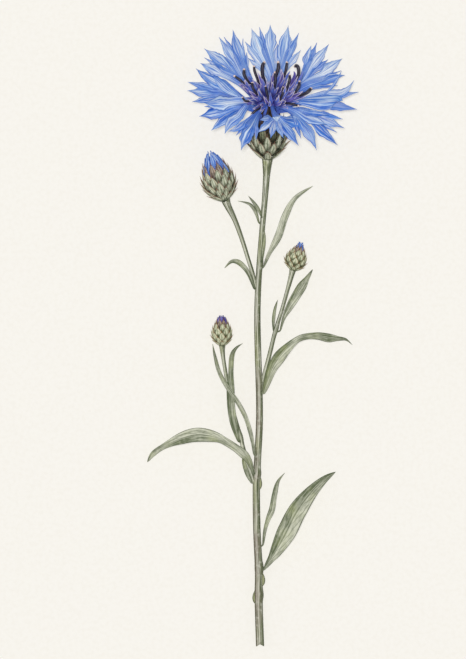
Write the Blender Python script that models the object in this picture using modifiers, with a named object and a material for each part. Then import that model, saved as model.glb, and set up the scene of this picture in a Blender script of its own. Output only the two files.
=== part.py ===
"""Cornflower: one cut flowering stem with an open head, three buds and its leaves.

The stem lies on the surface z = 0 with its cut end at -Y and its head at +Y. The open
head faces up and away from the surface, on a bent neck, and rests on its rear florets.
Every stem, leaf, bract row, floret and bud part is a closed solid of its own.
"""
import math

import bmesh
import bpy
from mathutils import Matrix, Vector

MM = 0.001
SEAT_GAP = 0.3

# --- Driving dimensions, in millimetres and degrees -------------------------------------
HEAD_BASE = Vector((4.1, 49.9, 4.4))
HEAD_TILT = 30.0
HEAD_DEPTH = 18.5
HEAD_AXIS = Vector((0.0, math.cos(math.radians(HEAD_TILT)), math.sin(math.radians(HEAD_TILT))))
HEAD_CENTRE = HEAD_BASE + HEAD_AXIS * HEAD_DEPTH

STEM_ROUTE = (
    (2.0, -88.1, 1.15), (1.6, -75.5, 1.15), (1.65, -67.0, 1.2), (1.1, -55.5, 1.3), (0.95, -43.0, 1.4),
    (1.3, -35.5, 1.45), (1.8, -26.0, 1.5), (1.8, -17.0, 1.5), (1.4, -4.5, 1.5), (1.25, 7.0, 1.5),
    (1.75, 18.5, 1.5), (2.6, 30.0, 1.5), (3.4, 39.0, 1.5), (3.85, 45.6, 2.45), (4.1, 49.6, 4.15),
)
STEM_RADII = (1.12, 1.1, 1.08, 1.02, 1.0, 0.96, 0.95, 0.92, 0.9, 0.85, 0.8, 0.72, 0.68, 0.72, 1.05)

STEM_STEPS = 28
SIDE_STEM_STEPS = 12
SIDE_STEMS = {
    "side_stem_upper_left": (
        ((0.05, 17.0, 1.6), (-1.3, 21.4, 1.8), (-3.1, 27.1, 2.4), (-5.2, 32.8, 3.2), (-7.5, 37.4, 4.1)),
        (0.5, 0.52, 0.55, 0.6, 0.9),
    ),
    "side_stem_right": (
        ((3.35, -10.6, 1.5), (4.3, -7.2, 1.5), (5.3, -3.1, 1.6), (6.4, 1.4, 1.8), (8.2, 7.1, 2.2),
         (9.8, 12.8, 2.6), (11.1, 17.6, 2.9)),
        (0.55, 0.56, 0.56, 0.54, 0.5, 0.5, 0.7),
    ),
    "side_stem_lower_left": (
        ((-0.75, -38.7, 1.4), (-2.4, -33.6, 1.4), (-4.3, -26.5, 1.5), (-6.2, -19.7, 1.7),
         (-7.4, -13.1, 2.0), (-8.4, -7.1, 2.4), (-8.75, -3.9, 2.7)),
        (0.58, 0.58, 0.55, 0.52, 0.5, 0.52, 0.7),
    ),
}

# name: (midrib route, full width, place of the widest point along it, twist at foot, twist at tip)
LEAVES = {
    "leaf_large_lower_right": (
        ((3.5, -66.2, 1.85), (5.0, -64.0, 2.7), (6.7, -61.3, 3.6), (9.8, -55.6, 4.7), (12.5, -50.3, 4.9),
         (16.2, -45.2, 4.0), (20.1, -41.3, 2.3), (23.5, -39.0, 0.5)),
        5.4, 0.55, 0.0, 0.0,
    ),
    "leaf_narrow_lower_right": (
        ((2.9, -59.4, 1.45), (3.4, -55.6, 2.2), (4.3, -52.4, 3.0), (5.4, -49.6, 3.4), (6.1, -45.6, 3.2),
         (7.1, -41.8, 2.6), (9.0, -39.3, 1.9)),
        1.5, 0.5, 20.0, 0.0,
    ),
    "leaf_large_left": (
        ((0.0, -39.0, 2.75), (-1.3, -35.6, 3.6), (-3.4, -33.3, 4.3), (-7.2, -30.7, 5.2), (-10.8, -29.0, 6.0),
         (-16.0, -28.4, 6.2), (-20.6, -29.5, 5.0), (-25.4, -31.7, 2.8),
         (-28.4, -33.8, 1.4), (-30.1, -36.2, 0.5)),
        4.0, 0.5, 0.0, 0.0,
    ),
    "leaf_sheath_lower_left": (
        ((-0.65, -41.6, 1.3), (-1.9, -39.6, 1.4), (-3.0, -36.6, 1.5), (-3.4, -33.8, 1.7)),
        1.3, 0.5, 0.0, 0.0,
    ),
    "leaf_along_lower_left": (
        ((-4.3, -29.6, 2.6), (-5.2, -26.0, 3.3), (-6.1, -21.6, 3.7), (-6.4, -15.7, 3.9), (-6.3, -10.0, 3.6),
         (-6.0, -6.0, 2.9), (-4.9, -3.8, 2.2), (-3.0, -2.4, 1.6)),
        2.6, 0.42, 0.0, 0.0,
    ),
    "leaf_crossing_lower_left": (
        ((0.35, -33.6, 2.6), (-0.1, -30.8, 3.5), (-0.9, -27.2, 4.4), (-2.3, -23.0, 5.2), (-4.4, -19.1, 5.8),
         (-7.2, -15.0, 6.0), (-9.6, -10.6, 5.2), (-10.9, -5.8, 3.6), (-11.5, -2.6, 2.4)),
        1.5, 0.5, 0.0, 0.0,
    ),
    "leaf_large_right": (
        ((3.15, -15.6, 2.5), (4.8, -11.7, 3.4), (6.9, -7.9, 4.6), (9.9, -3.8, 5.4), (12.8, -1.4, 5.4),
         (16.0, -0.4, 4.6), (20.2, -0.5, 3.6), (24.2, -1.0, 2.4), (26.8, -1.9, 1.4), (28.4, -3.1, 0.6)),
        3.4, 0.35, 0.0, 0.0,
    ),
    "leaf_right_side_stem": (
        ((7.85, 1.6, 2.2), (8.8, 4.9, 2.9), (10.6, 8.4, 3.4), (13.0, 12.4, 3.2), (15.1, 15.7, 2.4),
         (17.0, 18.7, 1.4)),
        2.4, 0.5, 0.0, 0.0,
    ),
    "leaf_small_right_side_stem": (
        ((5.5, 1.9, 2.2), (5.6, 4.4, 2.6), (6.1, 7.2, 2.6), (7.0, 10.0, 2.2)),
        1.0, 0.45, 0.0, 0.0,
    ),
    "leaf_upper_left_side_stem": (
        ((0.4, 13.4, 2.3), (-1.1, 17.2, 3.0), (-2.5, 19.3, 3.4), (-4.3, 20.8, 3.2), (-6.2, 20.9, 2.4),
         (-8.1, 19.1, 1.3)),
        1.5, 0.5, 0.0, 0.0,
    ),
    "leaf_upper_right": (
        ((3.2, 19.8, 1.9), (4.6, 23.2, 2.8), (7.2, 28.2, 3.8), (9.2, 34.0, 4.2), (12.0, 39.0, 3.4),
         (17.1, 42.5, 1.8)),
        2.3, 0.45, 0.0, 0.0,
    ),
    "leaf_bract_upper_right": (
        ((2.55, 21.4, 2.65), (2.9, 24.5, 3.0), (3.2, 27.2, 3.0), (3.35, 29.4, 2.7)),
        0.9, 0.4, 0.0, 0.0,
    ),
    "leaf_neck_outer": (
        ((1.55, 32.4, 1.6), (1.0, 34.4, 1.8), (0.1, 36.2, 2.0), (-1.4, 37.5, 1.9), (-4.3, 38.2, 1.5)),
        0.9, 0.5, 0.0, 0.0,
    ),
    "leaf_neck_inner": (
        ((2.3, 34.0, 2.5), (1.6, 35.6, 3.0), (0.6, 37.2, 3.2), (-1.3, 39.6, 2.9)),
        1.0, 0.5, 0.0, 0.0,
    ),
}

# Bract rows, outermost first: foot and tip along the head's axis, depth of the notches,
# number of bracts, and how far the foot lies inside the involucre's outline
BRACT_ROWS = (
    (1.0, 5.0, 1.6, 8, 1.1), (3.2, 8.0, 2.2, 9, 1.4), (5.8, 11.0, 2.6, 9, 1.4), (8.4, 14.5, 3.2, 10, 1.4),
)
RECEPTACLE_STEPS = 16
BRACT_THICKNESS = 0.3
BRACT_TIP_INSET = 0.2
INVOLUCRE_PROFILE = (
    (0.0, 1.4), (1.5, 3.2), (3.3, 4.5), (5.0, 5.3), (6.6, 5.6), (9.0, 5.4), (11.0, 4.9),
    (13.0, 4.3), (14.5, 4.05),
)
RECEPTACLE_PROFILE = (
    (0.0, 0.0), (1.0, 0.0), (1.0, 1.2), (1.5, 1.8), (2.5, 3.0), (3.5, 5.0), (3.7, 6.8), (3.4, 8.8),
    (2.4, 9.4), (0.0, 9.6),
)
FLORET_FOOT = 10.0
MOUTH = 14.5
KNEE = 16.8

# Ray florets: throat, layer and lobe tips, each place as (bearing from the rear, reach)
RAYS = (
    ((-9, 7.5), 1, ((-23, 14.1), (-21, 18.9), (-12, 22.0), (-6, 22.0), (2, 22.5))),
    ((17, 7.8), 0, ((15, 23.1), (24, 22.1), (31, 18.0))),
    ((50, 10.7), 0, ((37, 20.6), (41, 22.3), (46, 24.2), (54, 21.3))),
    ((67, 10.9), 1, ((58, 24.8), (65, 22.7), (70, 23.4), (77, 20.5))),
    ((83, 10.4), 2, ((73, 20.3), (76, 25.1), (83, 26.0), (90, 25.3))),
    ((100, 9.1), 0, ((98, 21.7), (106, 22.8), (113, 21.3), (121, 23.1))),
    ((112, 6.3), 3, ((104, 17.8), (113, 17.8), (128, 19.2), (136, 13.7))),
    ((160, 4.6), 2, ((128, 12.2), (144, 14.7), (160, 10.8), (177, 9.9), (-165, 9.0))),
    ((-146, 4.5), 3, ((-158, 12.6), (-150, 15.4), (-137, 13.2), (-127, 13.7))),
    ((-112, 5.0), 1, ((-128, 15.0), (-120, 16.5))),
    ((-98, 8.0), 0, ((-112, 18.2), (-103, 19.8), (-95, 18.1))),
    ((-87, 6.9), 2, ((-95, 17.0), (-87, 18.2))),
    ((-78, 10.6), 0, ((-88, 21.7), (-81, 23.3), (-74, 23.6))),
    ((-72, 7.3), 2, ((-68, 22.8), (-61, 18.2))),
    ((-60, 7.6), 1, ((-58, 22.5), (-53, 22.0))),
    ((-40, 8.3), 0, ((-50, 24.1), (-43, 20.3), (-37, 23.6), (-31, 23.0), (-25, 23.4), (-20, 19.0))),
)
# The tube's foot, mouth and knee as (radius, height) in the head
RAY_TUBE = ((3.1, FLORET_FOOT), (3.3, MOUTH), (4.1, KNEE - 0.3))
RAY_TUBE_WIDTH = 0.8
RAY_THROAT_WIDTH = 1.5
RAY_THICKNESS = 0.35
LAYER_STEP = 1.0
NOTCH_SHARE = 0.38
# Places along a lobe as (share of the way from its notches to its tip, width against the notches')
LOBE_ROWS = ((0.4, 1.3), (0.75, 0.9), (1.0, 0.08))

# Disc florets: ring and azimuth on the receptacle, foot and tip of the anther column
# as (bearing, reach)
DISCS = (
    (2, -85, (-56, 7.6), (-51, 12.6)), (2, -60, (-43, 7.1), (-34, 11.7)), (1, -80, (-52, 3.2), (-37, 7.3)),
    (2, -30, (-29, 5.2), (-21, 11.4)), (1, -20, (-10, 5.3), (-5, 11.7)), (0, 0, (0, 1.2), (-7, 4.9)),
    (1, 25, (22, 4.6), (13, 9.2)), (2, 10, (12, 7.8), (10, 12.3)), (2, 35, (34, 7.4), (24, 12.9)),
    (1, 75, (62, 5.4), (38, 9.4)), (2, 60, (54, 8.5), (37, 13.2)), (1, 125, (85, 3.0), (44, 6.5)),
    (2, 85, (70, 6.4), (54, 10.8)), (2, 115, (80, 7.8), (71, 13.3)), (2, 145, (98, 5.0), (100, 8.6)),
)
DISC_RINGS = (0.0, 1.1, 2.1)
DISC_RING_LIFT = 0.9
DISC_RADII = (0.22, 0.22, 0.26, 0.42, 0.38, 0.34, 0.16)
DISC_LIFT = 0.6
DISC_STEPS = 9
DISC_ARCH = Vector((0.0, 0.0, 0.9))

# Buds: foot, tip, belly radius, share of the length that is green
BUDS = {
    "bud_upper_left": ((-7.7, 37.9, 4.4), (-11.4, 51.4, 5.4), 4.75, 0.8),
    "bud_right": ((11.25, 18.2, 3.0), (13.3, 26.3, 3.3), 3.1, 0.86),
    "bud_lower_left": ((-8.75, -3.3, 2.9), (-9.0, 5.4, 3.1), 2.95, 0.86),
}

COLOURS = {
    "stem": ((0.23, 0.25, 0.15), 0.7),
    "leaf": ((0.27, 0.31, 0.20), 0.7),
    "bract": ((0.30, 0.34, 0.22), 0.75),
    "petal": ((0.09, 0.24, 0.78), 0.6),
    "anther": ((0.02, 0.015, 0.035), 0.5),
    "core": ((0.10, 0.07, 0.04), 0.8),
}


# --- Scene helpers ----------------------------------------------------------------------
def clear_scene():
    """Remove every object of the open scene."""
    for obj in list(bpy.data.objects):
        bpy.data.objects.remove(obj, do_unlink=True)


def make_collection(name):
    """Return a new collection linked to the scene."""
    collection = bpy.data.collections.new(name)
    bpy.context.scene.collection.children.link(collection)
    return collection


def make_material(name, colour, roughness):
    """Return a plain Principled material."""
    material = bpy.data.materials.new(name)
    material.use_nodes = True
    shader = material.node_tree.nodes["Principled BSDF"]
    shader.inputs["Base Color"].default_value = (*colour, 1.0)
    shader.inputs["Roughness"].default_value = roughness
    shader.inputs["Metallic"].default_value = 0.0
    return material


def add_mesh(name, bm, collection, material):
    """Turn a bmesh in millimetres into a named object in metres."""
    bmesh.ops.scale(bm, vec=Vector((MM, MM, MM)), verts=bm.verts)
    bmesh.ops.recalc_face_normals(bm, faces=bm.faces)
    mesh = bpy.data.meshes.new(name)
    bm.to_mesh(mesh)
    bm.free()
    mesh.materials.append(material)
    obj = bpy.data.objects.new(name, mesh)
    collection.objects.link(obj)
    return obj


def thicken(obj, thickness):
    """Make an open surface a closed sheet of one thickness, half on each side."""
    solid = obj.modifiers.new("Thickness", "SOLIDIFY")
    solid.thickness = thickness * MM
    solid.offset = 0.0


# --- Curves -----------------------------------------------------------------------------
def along(points, share):
    """Return the place at a share of the way along a smooth curve through the points."""
    spans = len(points) - 1
    span = min(int(share * spans), spans - 1)
    t = share * spans - span
    before = points[max(span - 1, 0)]
    start, end = points[span], points[span + 1]
    after = points[min(span + 2, spans)]
    return 0.5 * (
        2.0 * start
        + (end - before) * t
        + (2.0 * before - 5.0 * start + 4.0 * end - after) * t ** 2
        + (3.0 * start - before - 3.0 * end + after) * t ** 3
    )


def mix(values, share):
    """Return the value at a share of the way along a list, in straight steps."""
    spans = len(values) - 1
    span = min(int(share * spans), spans - 1)
    return values[span] + (values[span + 1] - values[span]) * (share * spans - span)


def profile_radius(profile, height):
    """Return the radius of a (height, radius) profile at a height."""
    for (low, low_radius), (high, high_radius) in zip(profile, profile[1:]):
        if height <= high:
            return low_radius + (high_radius - low_radius) * (height - low) / (high - low)
    return profile[-1][1]


def add_tube(name, route, radii, steps, collection, material, roundness=2):
    """Add a round stem as a curve object with a bevel, its radius changing along the route."""
    points = [Vector(place) for place in route]
    curve = bpy.data.curves.new(name, "CURVE")
    curve.dimensions = "3D"
    curve.bevel_depth = MM
    curve.bevel_resolution = roundness
    curve.use_fill_caps = True
    spline = curve.splines.new("POLY")
    spline.points.add(steps)
    for index, point in enumerate(spline.points):
        share = index / steps
        point.co = (*(along(points, share) * MM), 1.0)
        point.radius = mix(radii, share)
    curve.materials.append(material)
    obj = bpy.data.objects.new(name, curve)
    collection.objects.link(obj)
    return obj


# --- Leaves -----------------------------------------------------------------------------
LEAF_STEPS = 12
LEAF_THICKNESS = 0.4
LEAF_KEEL = 0.18


def leaf_width(share, widest, full):
    """Return a leaf's half width: narrow at the foot, widest at a given share, pointed."""
    rise = min(share / widest, 1.0)
    fall = max((share - widest) / (1.0 - widest), 0.0)
    blade = (0.3 + 0.7 * math.sin(0.5 * math.pi * rise)) * (1.0 - fall ** 1.8)
    return 0.5 * full * max(blade, 0.08)


def add_leaf(name, shape, collection, material):
    """Add one leaf: a grid bent along its midrib, keeled in the middle, with a thickness."""
    route, full, widest, foot_twist, tip_twist = shape
    points = [Vector(place) for place in route]
    bm = bmesh.new()
    bmesh.ops.create_grid(bm, x_segments=LEAF_STEPS, y_segments=2, size=0.5)
    for vert in bm.verts:
        share, across = vert.co.x + 0.5, 2.0 * vert.co.y
        ahead = along(points, min(share + 0.02, 1.0)) - along(points, max(share - 0.02, 0.0))
        side = ahead.cross(Vector((0.0, 0.0, 1.0))).normalized()
        twist = math.radians(foot_twist + (tip_twist - foot_twist) * share)
        side.rotate(Matrix.Rotation(twist, 3, ahead.normalized()))
        lift = side.cross(ahead).normalized()
        half = leaf_width(share, widest, full)
        vert.co = along(points, share) + side * half * across + lift * half * LEAF_KEEL * abs(across)
    thicken(add_mesh(name, bm, collection, material), LEAF_THICKNESS)


# --- Head -------------------------------------------------------------------------------
def ring_direction(azimuth):
    """Return the unit vector out from the head's axis; azimuth 0 is the rear, 90 is +X."""
    rear = Vector((0.0, math.sin(math.radians(HEAD_TILT)), -math.cos(math.radians(HEAD_TILT))))
    turn = math.radians(azimuth)
    return rear * math.cos(turn) + Vector((1.0, 0.0, 0.0)) * math.sin(turn)


def head_point(azimuth, radius, height):
    """Return a place in the head from its cylinder coordinates about the head's axis."""
    return HEAD_BASE + HEAD_AXIS * height + ring_direction(azimuth) * radius


def head_empty(collection):
    """Add the empty that carries the turned pieces of the head, its Z on the head's axis."""
    empty = bpy.data.objects.new("head_frame", None)
    empty.location = HEAD_BASE * MM
    empty.rotation_euler = (math.radians(HEAD_TILT - 90.0), 0.0, 0.0)
    collection.objects.link(empty)
    return empty


def add_turned(name, profile, steps, collection, material):
    """Add a turned solid from a (radius, height) profile that starts on the axis at the foot."""
    bm = bmesh.new()
    verts = [bm.verts.new((radius, 0.0, height)) for radius, height in reversed(profile)]
    for first, second in zip(verts, verts[1:]):
        bm.edges.new((first, second))
    obj = add_mesh(name, bm, collection, material)
    screw = obj.modifiers.new("Turn", "SCREW")
    screw.steps = steps
    screw.render_steps = steps
    screw.use_merge_vertices = True
    screw.merge_threshold = 0.00001
    return obj


def add_crown(name, row, collection, material):
    """Add one row of bracts, joined at their feet and pointed at their tips."""
    foot, tip, notch, bracts, foot_inset = row
    bm = bmesh.new()
    bmesh.ops.create_grid(bm, x_segments=2 * bracts, y_segments=3, size=0.5)
    for vert in bm.verts:
        column = round((vert.co.x + 0.5) * 2 * bracts)
        share = vert.co.y + 0.5
        top = tip if column % 2 else tip - notch
        height = foot + (top - foot) * share
        inset = foot_inset + (BRACT_TIP_INSET - foot_inset) * (height - foot) / (tip - foot)
        radius = profile_radius(INVOLUCRE_PROFILE, height) - inset
        turn = math.pi * column / bracts
        vert.co = Vector((radius * math.cos(turn), radius * math.sin(turn), height))
    bmesh.ops.remove_doubles(bm, verts=bm.verts, dist=0.001)
    obj = add_mesh(name, bm, collection, material)
    thicken(obj, BRACT_THICKNESS)
    return obj


def ray_height(bearing, reach, layer):
    """Return the height of the ray florets' sheet: down to the surface at the rear, up in front."""
    turn = math.radians(bearing)
    slope = 0.1125 - 0.775 * math.cos(turn) + 0.1125 * math.cos(2.0 * turn)
    droop = 0.004 * abs(math.sin(turn)) + 0.03 * max(-math.cos(turn), 0.0)
    spread = min(max((reach - 3.0) / 6.0, 0.0), 1.0)
    return HEAD_CENTRE.z + slope * reach - droop * reach ** 2 + layer * LAYER_STEP * spread


def flat_place(bearing, reach):
    """Return a place in plan from a bearing about the head's centre and a reach."""
    turn = math.radians(bearing)
    return Vector((HEAD_CENTRE.x + reach * math.sin(turn), HEAD_CENTRE.y + reach * math.cos(turn)))


def lifted(flat, layer):
    """Return the place on the ray florets' sheet over a place in plan."""
    offset = flat - HEAD_CENTRE.xy
    bearing = math.degrees(math.atan2(offset.x, offset.y))
    return Vector((flat.x, flat.y, ray_height(bearing, offset.length, layer)))


def ray_notches(throat, tips):
    """Return the places in plan of the notches beside each lobe, from the first to the last."""
    arms = [tip - throat for tip in tips]
    angles = [math.atan2(arm.x, arm.y) for arm in arms]
    steps = [second - first for first, second in zip(angles, angles[1:])]
    gaps = [(step + math.pi) % (2.0 * math.pi) - math.pi for step in steps]
    cuts = [angles[0] - 0.5 * gaps[0]]
    cuts += [first + 0.5 * gap for first, gap in zip(angles, gaps)]
    cuts.append(angles[-1] + 0.5 * gaps[-1])
    lengths = [arm.length for arm in arms]
    reaches = [lengths[0]] + [min(pair) for pair in zip(lengths, lengths[1:])] + [lengths[-1]]
    return [
        throat + Vector((math.sin(cut), math.cos(cut))) * reach * NOTCH_SHARE
        for cut, reach in zip(cuts, reaches)
    ]


THROAT_ROW = len(RAY_TUBE)
NOTCH_ROW = THROAT_ROW + 1
RAY_ROWS = NOTCH_ROW + len(LOBE_ROWS)


def ray_point(row, line, lobe, shape):
    """Return one place of a ray floret.

    Args:
        row: the row of the grid, from the tube's foot past the throat and notches to the tips.
        line: the lengthwise line of the grid, from 0 to the number of lobes.
        lobe: the lobe that the place belongs to, past the notches.
        shape: azimuth, throat, layer, notches and tips of the floret.

    Returns:
        A Vector in millimetres.
    """
    azimuth, throat, layer, notches, tips = shape
    share = line / len(tips) - 0.5
    if row < THROAT_ROW:
        around = ring_direction(azimuth + 90.0)
        return head_point(azimuth, *RAY_TUBE[row]) + around * share * RAY_TUBE_WIDTH
    if row == THROAT_ROW:
        middle = (tips[0] + tips[-1]) * 0.5 - throat
        across = Vector((middle.y, -middle.x)).normalized()
        return lifted(throat + across * share * RAY_THROAT_WIDTH, layer)
    if row == NOTCH_ROW:
        return lifted(notches[line], layer)
    far_line = lobe if line > lobe else lobe + 1
    half = 0.5 * (notches[line] - notches[far_line])
    run, swell = LOBE_ROWS[row - NOTCH_ROW - 1]
    return lifted((notches[far_line] + half).lerp(tips[lobe], run) + half * swell, layer)


def add_ray(name, azimuth, ray, collection, material):
    """Add one ray floret: a flat tube that opens into pointed lobes."""
    throat_place, layer, tip_places = ray
    throat = flat_place(*throat_place)
    tips = [flat_place(*place) for place in tip_places]
    lobes = len(tips)
    shape = (azimuth, throat, layer, ray_notches(throat, tips), tips)
    bm = bmesh.new()
    bmesh.ops.create_grid(bm, x_segments=RAY_ROWS, y_segments=lobes, size=0.5)
    past_notches = (NOTCH_ROW - 0.5) / RAY_ROWS - 0.5
    slits = [
        edge for edge in bm.edges
        if min(vert.co.x for vert in edge.verts) > past_notches
        and abs(edge.verts[0].co.y - edge.verts[1].co.y) < 0.01 and len(edge.link_faces) == 2
    ]
    bmesh.ops.split_edges(bm, edges=slits)
    places = {}
    for vert in bm.verts:
        row = round((vert.co.x + 0.5) * RAY_ROWS)
        line = round((vert.co.y + 0.5) * lobes)
        lobe = int((vert.link_faces[0].calc_center_median().y + 0.5) * lobes)
        places[vert] = ray_point(row, line, lobe, shape)
    for vert, place in places.items():
        vert.co = place
    thicken(add_mesh(name, bm, collection, material), RAY_THICKNESS)


def disc_place(bearing, reach, lift):
    """Return a place of a disc floret over the middle of the head."""
    flat = flat_place(bearing, reach)
    rise = 0.25 + 0.2 * (1.0 - math.cos(math.radians(bearing)))
    return Vector((flat.x, flat.y, HEAD_CENTRE.z + lift + rise * reach))


def add_disc(name, disc, collection, material):
    """Add one disc floret: a thin tube from the receptacle, its limb and its anther column."""
    ring, azimuth, foot, tip = disc
    radius = DISC_RINGS[ring]
    above = DISC_RING_LIFT * (len(DISC_RINGS) - 1 - ring)
    start, end = disc_place(*foot, DISC_LIFT + above), disc_place(*tip, DISC_LIFT + above)
    knee = head_point(azimuth, radius * 1.1, KNEE)
    route = (
        head_point(azimuth, radius, FLORET_FOOT), head_point(azimuth, radius, MOUTH), knee,
        knee.lerp(start, 0.75), start, start.lerp(end, 0.55) + DISC_ARCH, end,
    )
    add_tube(name, route, DISC_RADII, DISC_STEPS, collection, material, roundness=1)


def build_head(collection, materials):
    """Build the receptacle, the bract rows and the florets of the open head."""
    empty = head_empty(collection)
    core = add_turned("receptacle", RECEPTACLE_PROFILE, RECEPTACLE_STEPS, collection, materials["core"])
    core.parent = empty
    for number, row in enumerate(BRACT_ROWS, 1):
        crown = add_crown(f"involucre_row_{number}", row, collection, materials["bract"])
        crown.parent = empty
    for number, ray in enumerate(RAYS, 1):
        azimuth = 360.0 * (number - 1) / len(RAYS)
        add_ray(f"ray_floret_{number:02d}", azimuth, ray, collection, materials["petal"])
    for number, disc in enumerate(DISCS, 1):
        add_disc(f"disc_floret_{number:02d}", disc, collection, materials["anther"])


# --- Buds -------------------------------------------------------------------------------
BUD_SKIN = 0.7
BUD_STEPS = 12
# Outline as (share of the length, share of the belly's radius); the mouth's share comes last
BUD_OUTLINE = ((0.0, 0.22), (0.1, 0.58), (0.22, 0.86), (0.36, 1.0), (0.55, 0.95), (0.72, 0.8))
BUD_MOUTH = 0.66
TUFT_BELLY = 0.42
CUP_FLOOR = 2


def add_bud(name, bud, collection, materials):
    """Add one closed bud: a cup of bracts and the tuft of florets that fills it."""
    foot, tip, belly, green = Vector(bud[0]), Vector(bud[1]), bud[2], bud[3]
    length = (tip - foot).length
    wall = [(belly * width, length * rise) for rise, width in (*BUD_OUTLINE, (green, BUD_MOUTH))]
    inside = [(radius - BUD_SKIN, height) for radius, height in wall[CUP_FLOOR:]]
    floor = inside[0][1] - BUD_SKIN
    cup = [(0.0, 0.0), *wall, *reversed(inside), (0.0, floor)]
    filling = [(inside[0][0] - SEAT_GAP, inside[0][1] + SEAT_GAP)]
    filling += [(radius - SEAT_GAP, height) for radius, height in inside[1:]]
    past_mouth = (filling[-1][0], length * green + SEAT_GAP)
    wide = (TUFT_BELLY * belly, 0.5 * length * (1.0 + green))
    tuft = [(0.0, floor + SEAT_GAP), *filling, past_mouth, wide, (0.0, length)]
    for kind, profile, material in (("involucre", cup, "bract"), ("florets", tuft, "petal")):
        obj = add_turned(f"{name}_{kind}", profile, BUD_STEPS, collection, materials[material])
        obj.location = foot * MM
        obj.rotation_mode = "QUATERNION"
        obj.rotation_quaternion = (tip - foot).to_track_quat("Z", "Y")


def main():
    """Build the cornflower."""
    clear_scene()
    collection = make_collection("cornflower")
    materials = {name: make_material(name, *look) for name, look in COLOURS.items()}
    add_tube("main_stem", STEM_ROUTE, STEM_RADII, STEM_STEPS, collection, materials["stem"])
    for name, (route, radii) in SIDE_STEMS.items():
        add_tube(name, route, radii, SIDE_STEM_STEPS, collection, materials["stem"])
    for name, shape in LEAVES.items():
        add_leaf(name, shape, collection, materials["leaf"])
    build_head(collection, materials)
    for name, bud in BUDS.items():
        add_bud(name, bud, collection, materials)


main()
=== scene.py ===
"""Looks of the cornflower: stems, leaves, bracts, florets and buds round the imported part.

Lengths are in millimetres until a mesh is made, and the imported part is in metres. The
stem lies along +Y on the surface z = 0, and the open head looks up at the rear end.
"""
from __future__ import annotations

import logging
import math
from dataclasses import dataclass
from enum import Enum

import bpy
import numpy as np
from mathutils import Matrix, Vector

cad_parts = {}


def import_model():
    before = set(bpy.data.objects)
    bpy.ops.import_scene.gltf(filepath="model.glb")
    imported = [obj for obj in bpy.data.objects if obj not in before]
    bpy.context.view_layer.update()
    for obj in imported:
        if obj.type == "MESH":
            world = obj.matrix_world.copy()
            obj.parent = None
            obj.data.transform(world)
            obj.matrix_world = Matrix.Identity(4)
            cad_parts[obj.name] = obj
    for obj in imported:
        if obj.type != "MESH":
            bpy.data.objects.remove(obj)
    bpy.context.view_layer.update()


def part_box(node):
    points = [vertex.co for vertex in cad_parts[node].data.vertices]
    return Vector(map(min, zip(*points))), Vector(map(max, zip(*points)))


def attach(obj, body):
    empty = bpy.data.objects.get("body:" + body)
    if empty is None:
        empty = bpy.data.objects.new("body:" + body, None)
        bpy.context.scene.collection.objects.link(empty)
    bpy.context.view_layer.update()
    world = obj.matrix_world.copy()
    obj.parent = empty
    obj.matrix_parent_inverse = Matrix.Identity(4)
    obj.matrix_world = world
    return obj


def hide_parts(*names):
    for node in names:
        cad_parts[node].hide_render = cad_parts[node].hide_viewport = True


Keys = tuple[tuple[float, ...], ...]
Values = float | np.ndarray

LOG = logging.getLogger("cornflower")
MM = 0.001
LAY = "lay"
SHARP_EDGE = math.radians(50.0)
PETAL_THICKNESS = 0.16

UP = np.array((0.0, 0.0, 1.0))
RIGHT = np.array((1.0, 0.0, 0.0))
HEAD_TILT = math.radians(30.0)
HEAD_BASE = np.array((4.1, 49.9, 4.4))
AXIS = np.array((0.0, math.cos(HEAD_TILT), math.sin(HEAD_TILT)))
REAR = np.array((0.0, math.sin(HEAD_TILT), -math.cos(HEAD_TILT)))
HEAD_CENTRE = HEAD_BASE + AXIS * 18.5
# Mean slope of the ray florets, and its two waves round the head
RAY_SLOPES = (0.1125, -0.775, 0.1125)
SIDE_DROOP, FRONT_DROOP = 0.004, 0.03
# Reach at which one floret starts to lie above another, and the run over which it does
LAYER_START, LAYER_RUN = 3.0, 6.0


# --- Curves -----------------------------------------------------------------------------
def paint(code: str) -> tuple[float, float, float, float]:
    """Turn a screen colour into a linear one.

    Args:
        code: six hexadecimal digits.

    Returns:
        The colour as RGBA.
    """
    channels = [int(code[k : k + 2], 16) / 255.0 for k in (0, 2, 4)]
    linear = [c / 12.92 if c <= 0.04045 else ((c + 0.055) / 1.055) ** 2.4 for c in channels]
    return (*linear, 1.0)


def smooth(low: float, high: float, value: np.ndarray) -> np.ndarray:
    """Return 0 below low, 1 above high and an eased step between them."""
    t = np.clip((value - low) / (high - low), 0.0, 1.0)
    return t * t * (3.0 - 2.0 * t)


def unit(vectors: np.ndarray) -> np.ndarray:
    """Return the vectors of the last axis at length 1."""
    return vectors / np.maximum(np.linalg.norm(vectors, axis=-1, keepdims=True), 1e-9)


def run_length(points: np.ndarray) -> float:
    """Return the length of a route of points."""
    return float(np.linalg.norm(np.diff(points, axis=0), axis=1).sum())


def turns(count: int) -> np.ndarray:
    """Return equal turns round a circle, from 0, in radians."""
    return np.linspace(0.0, 2.0 * math.pi, count, endpoint=False)


def along(points: np.ndarray, shares: np.ndarray) -> np.ndarray:
    """Follow a smooth curve through points.

    Args:
        points: the points of the curve on the first axis.
        shares: how far along it to look, each from 0 to 1.

    Returns:
        One place for each share, on the first axis.
    """
    points = np.asarray(points, float)
    spans = len(points) - 1
    scaled = np.clip(shares, 0.0, 1.0) * spans
    span = np.minimum(scaled.astype(int), spans - 1)
    t = (scaled - span).reshape(-1, *[1] * (points.ndim - 1))
    before = points[np.maximum(span - 1, 0)]
    start, end = points[span], points[span + 1]
    after = points[np.minimum(span + 2, spans)]
    return 0.5 * (
        2.0 * start
        + (end - before) * t
        + (2.0 * before - 5.0 * start + 4.0 * end - after) * t**2
        + (3.0 * start - before - 3.0 * end + after) * t**3
    )


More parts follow.
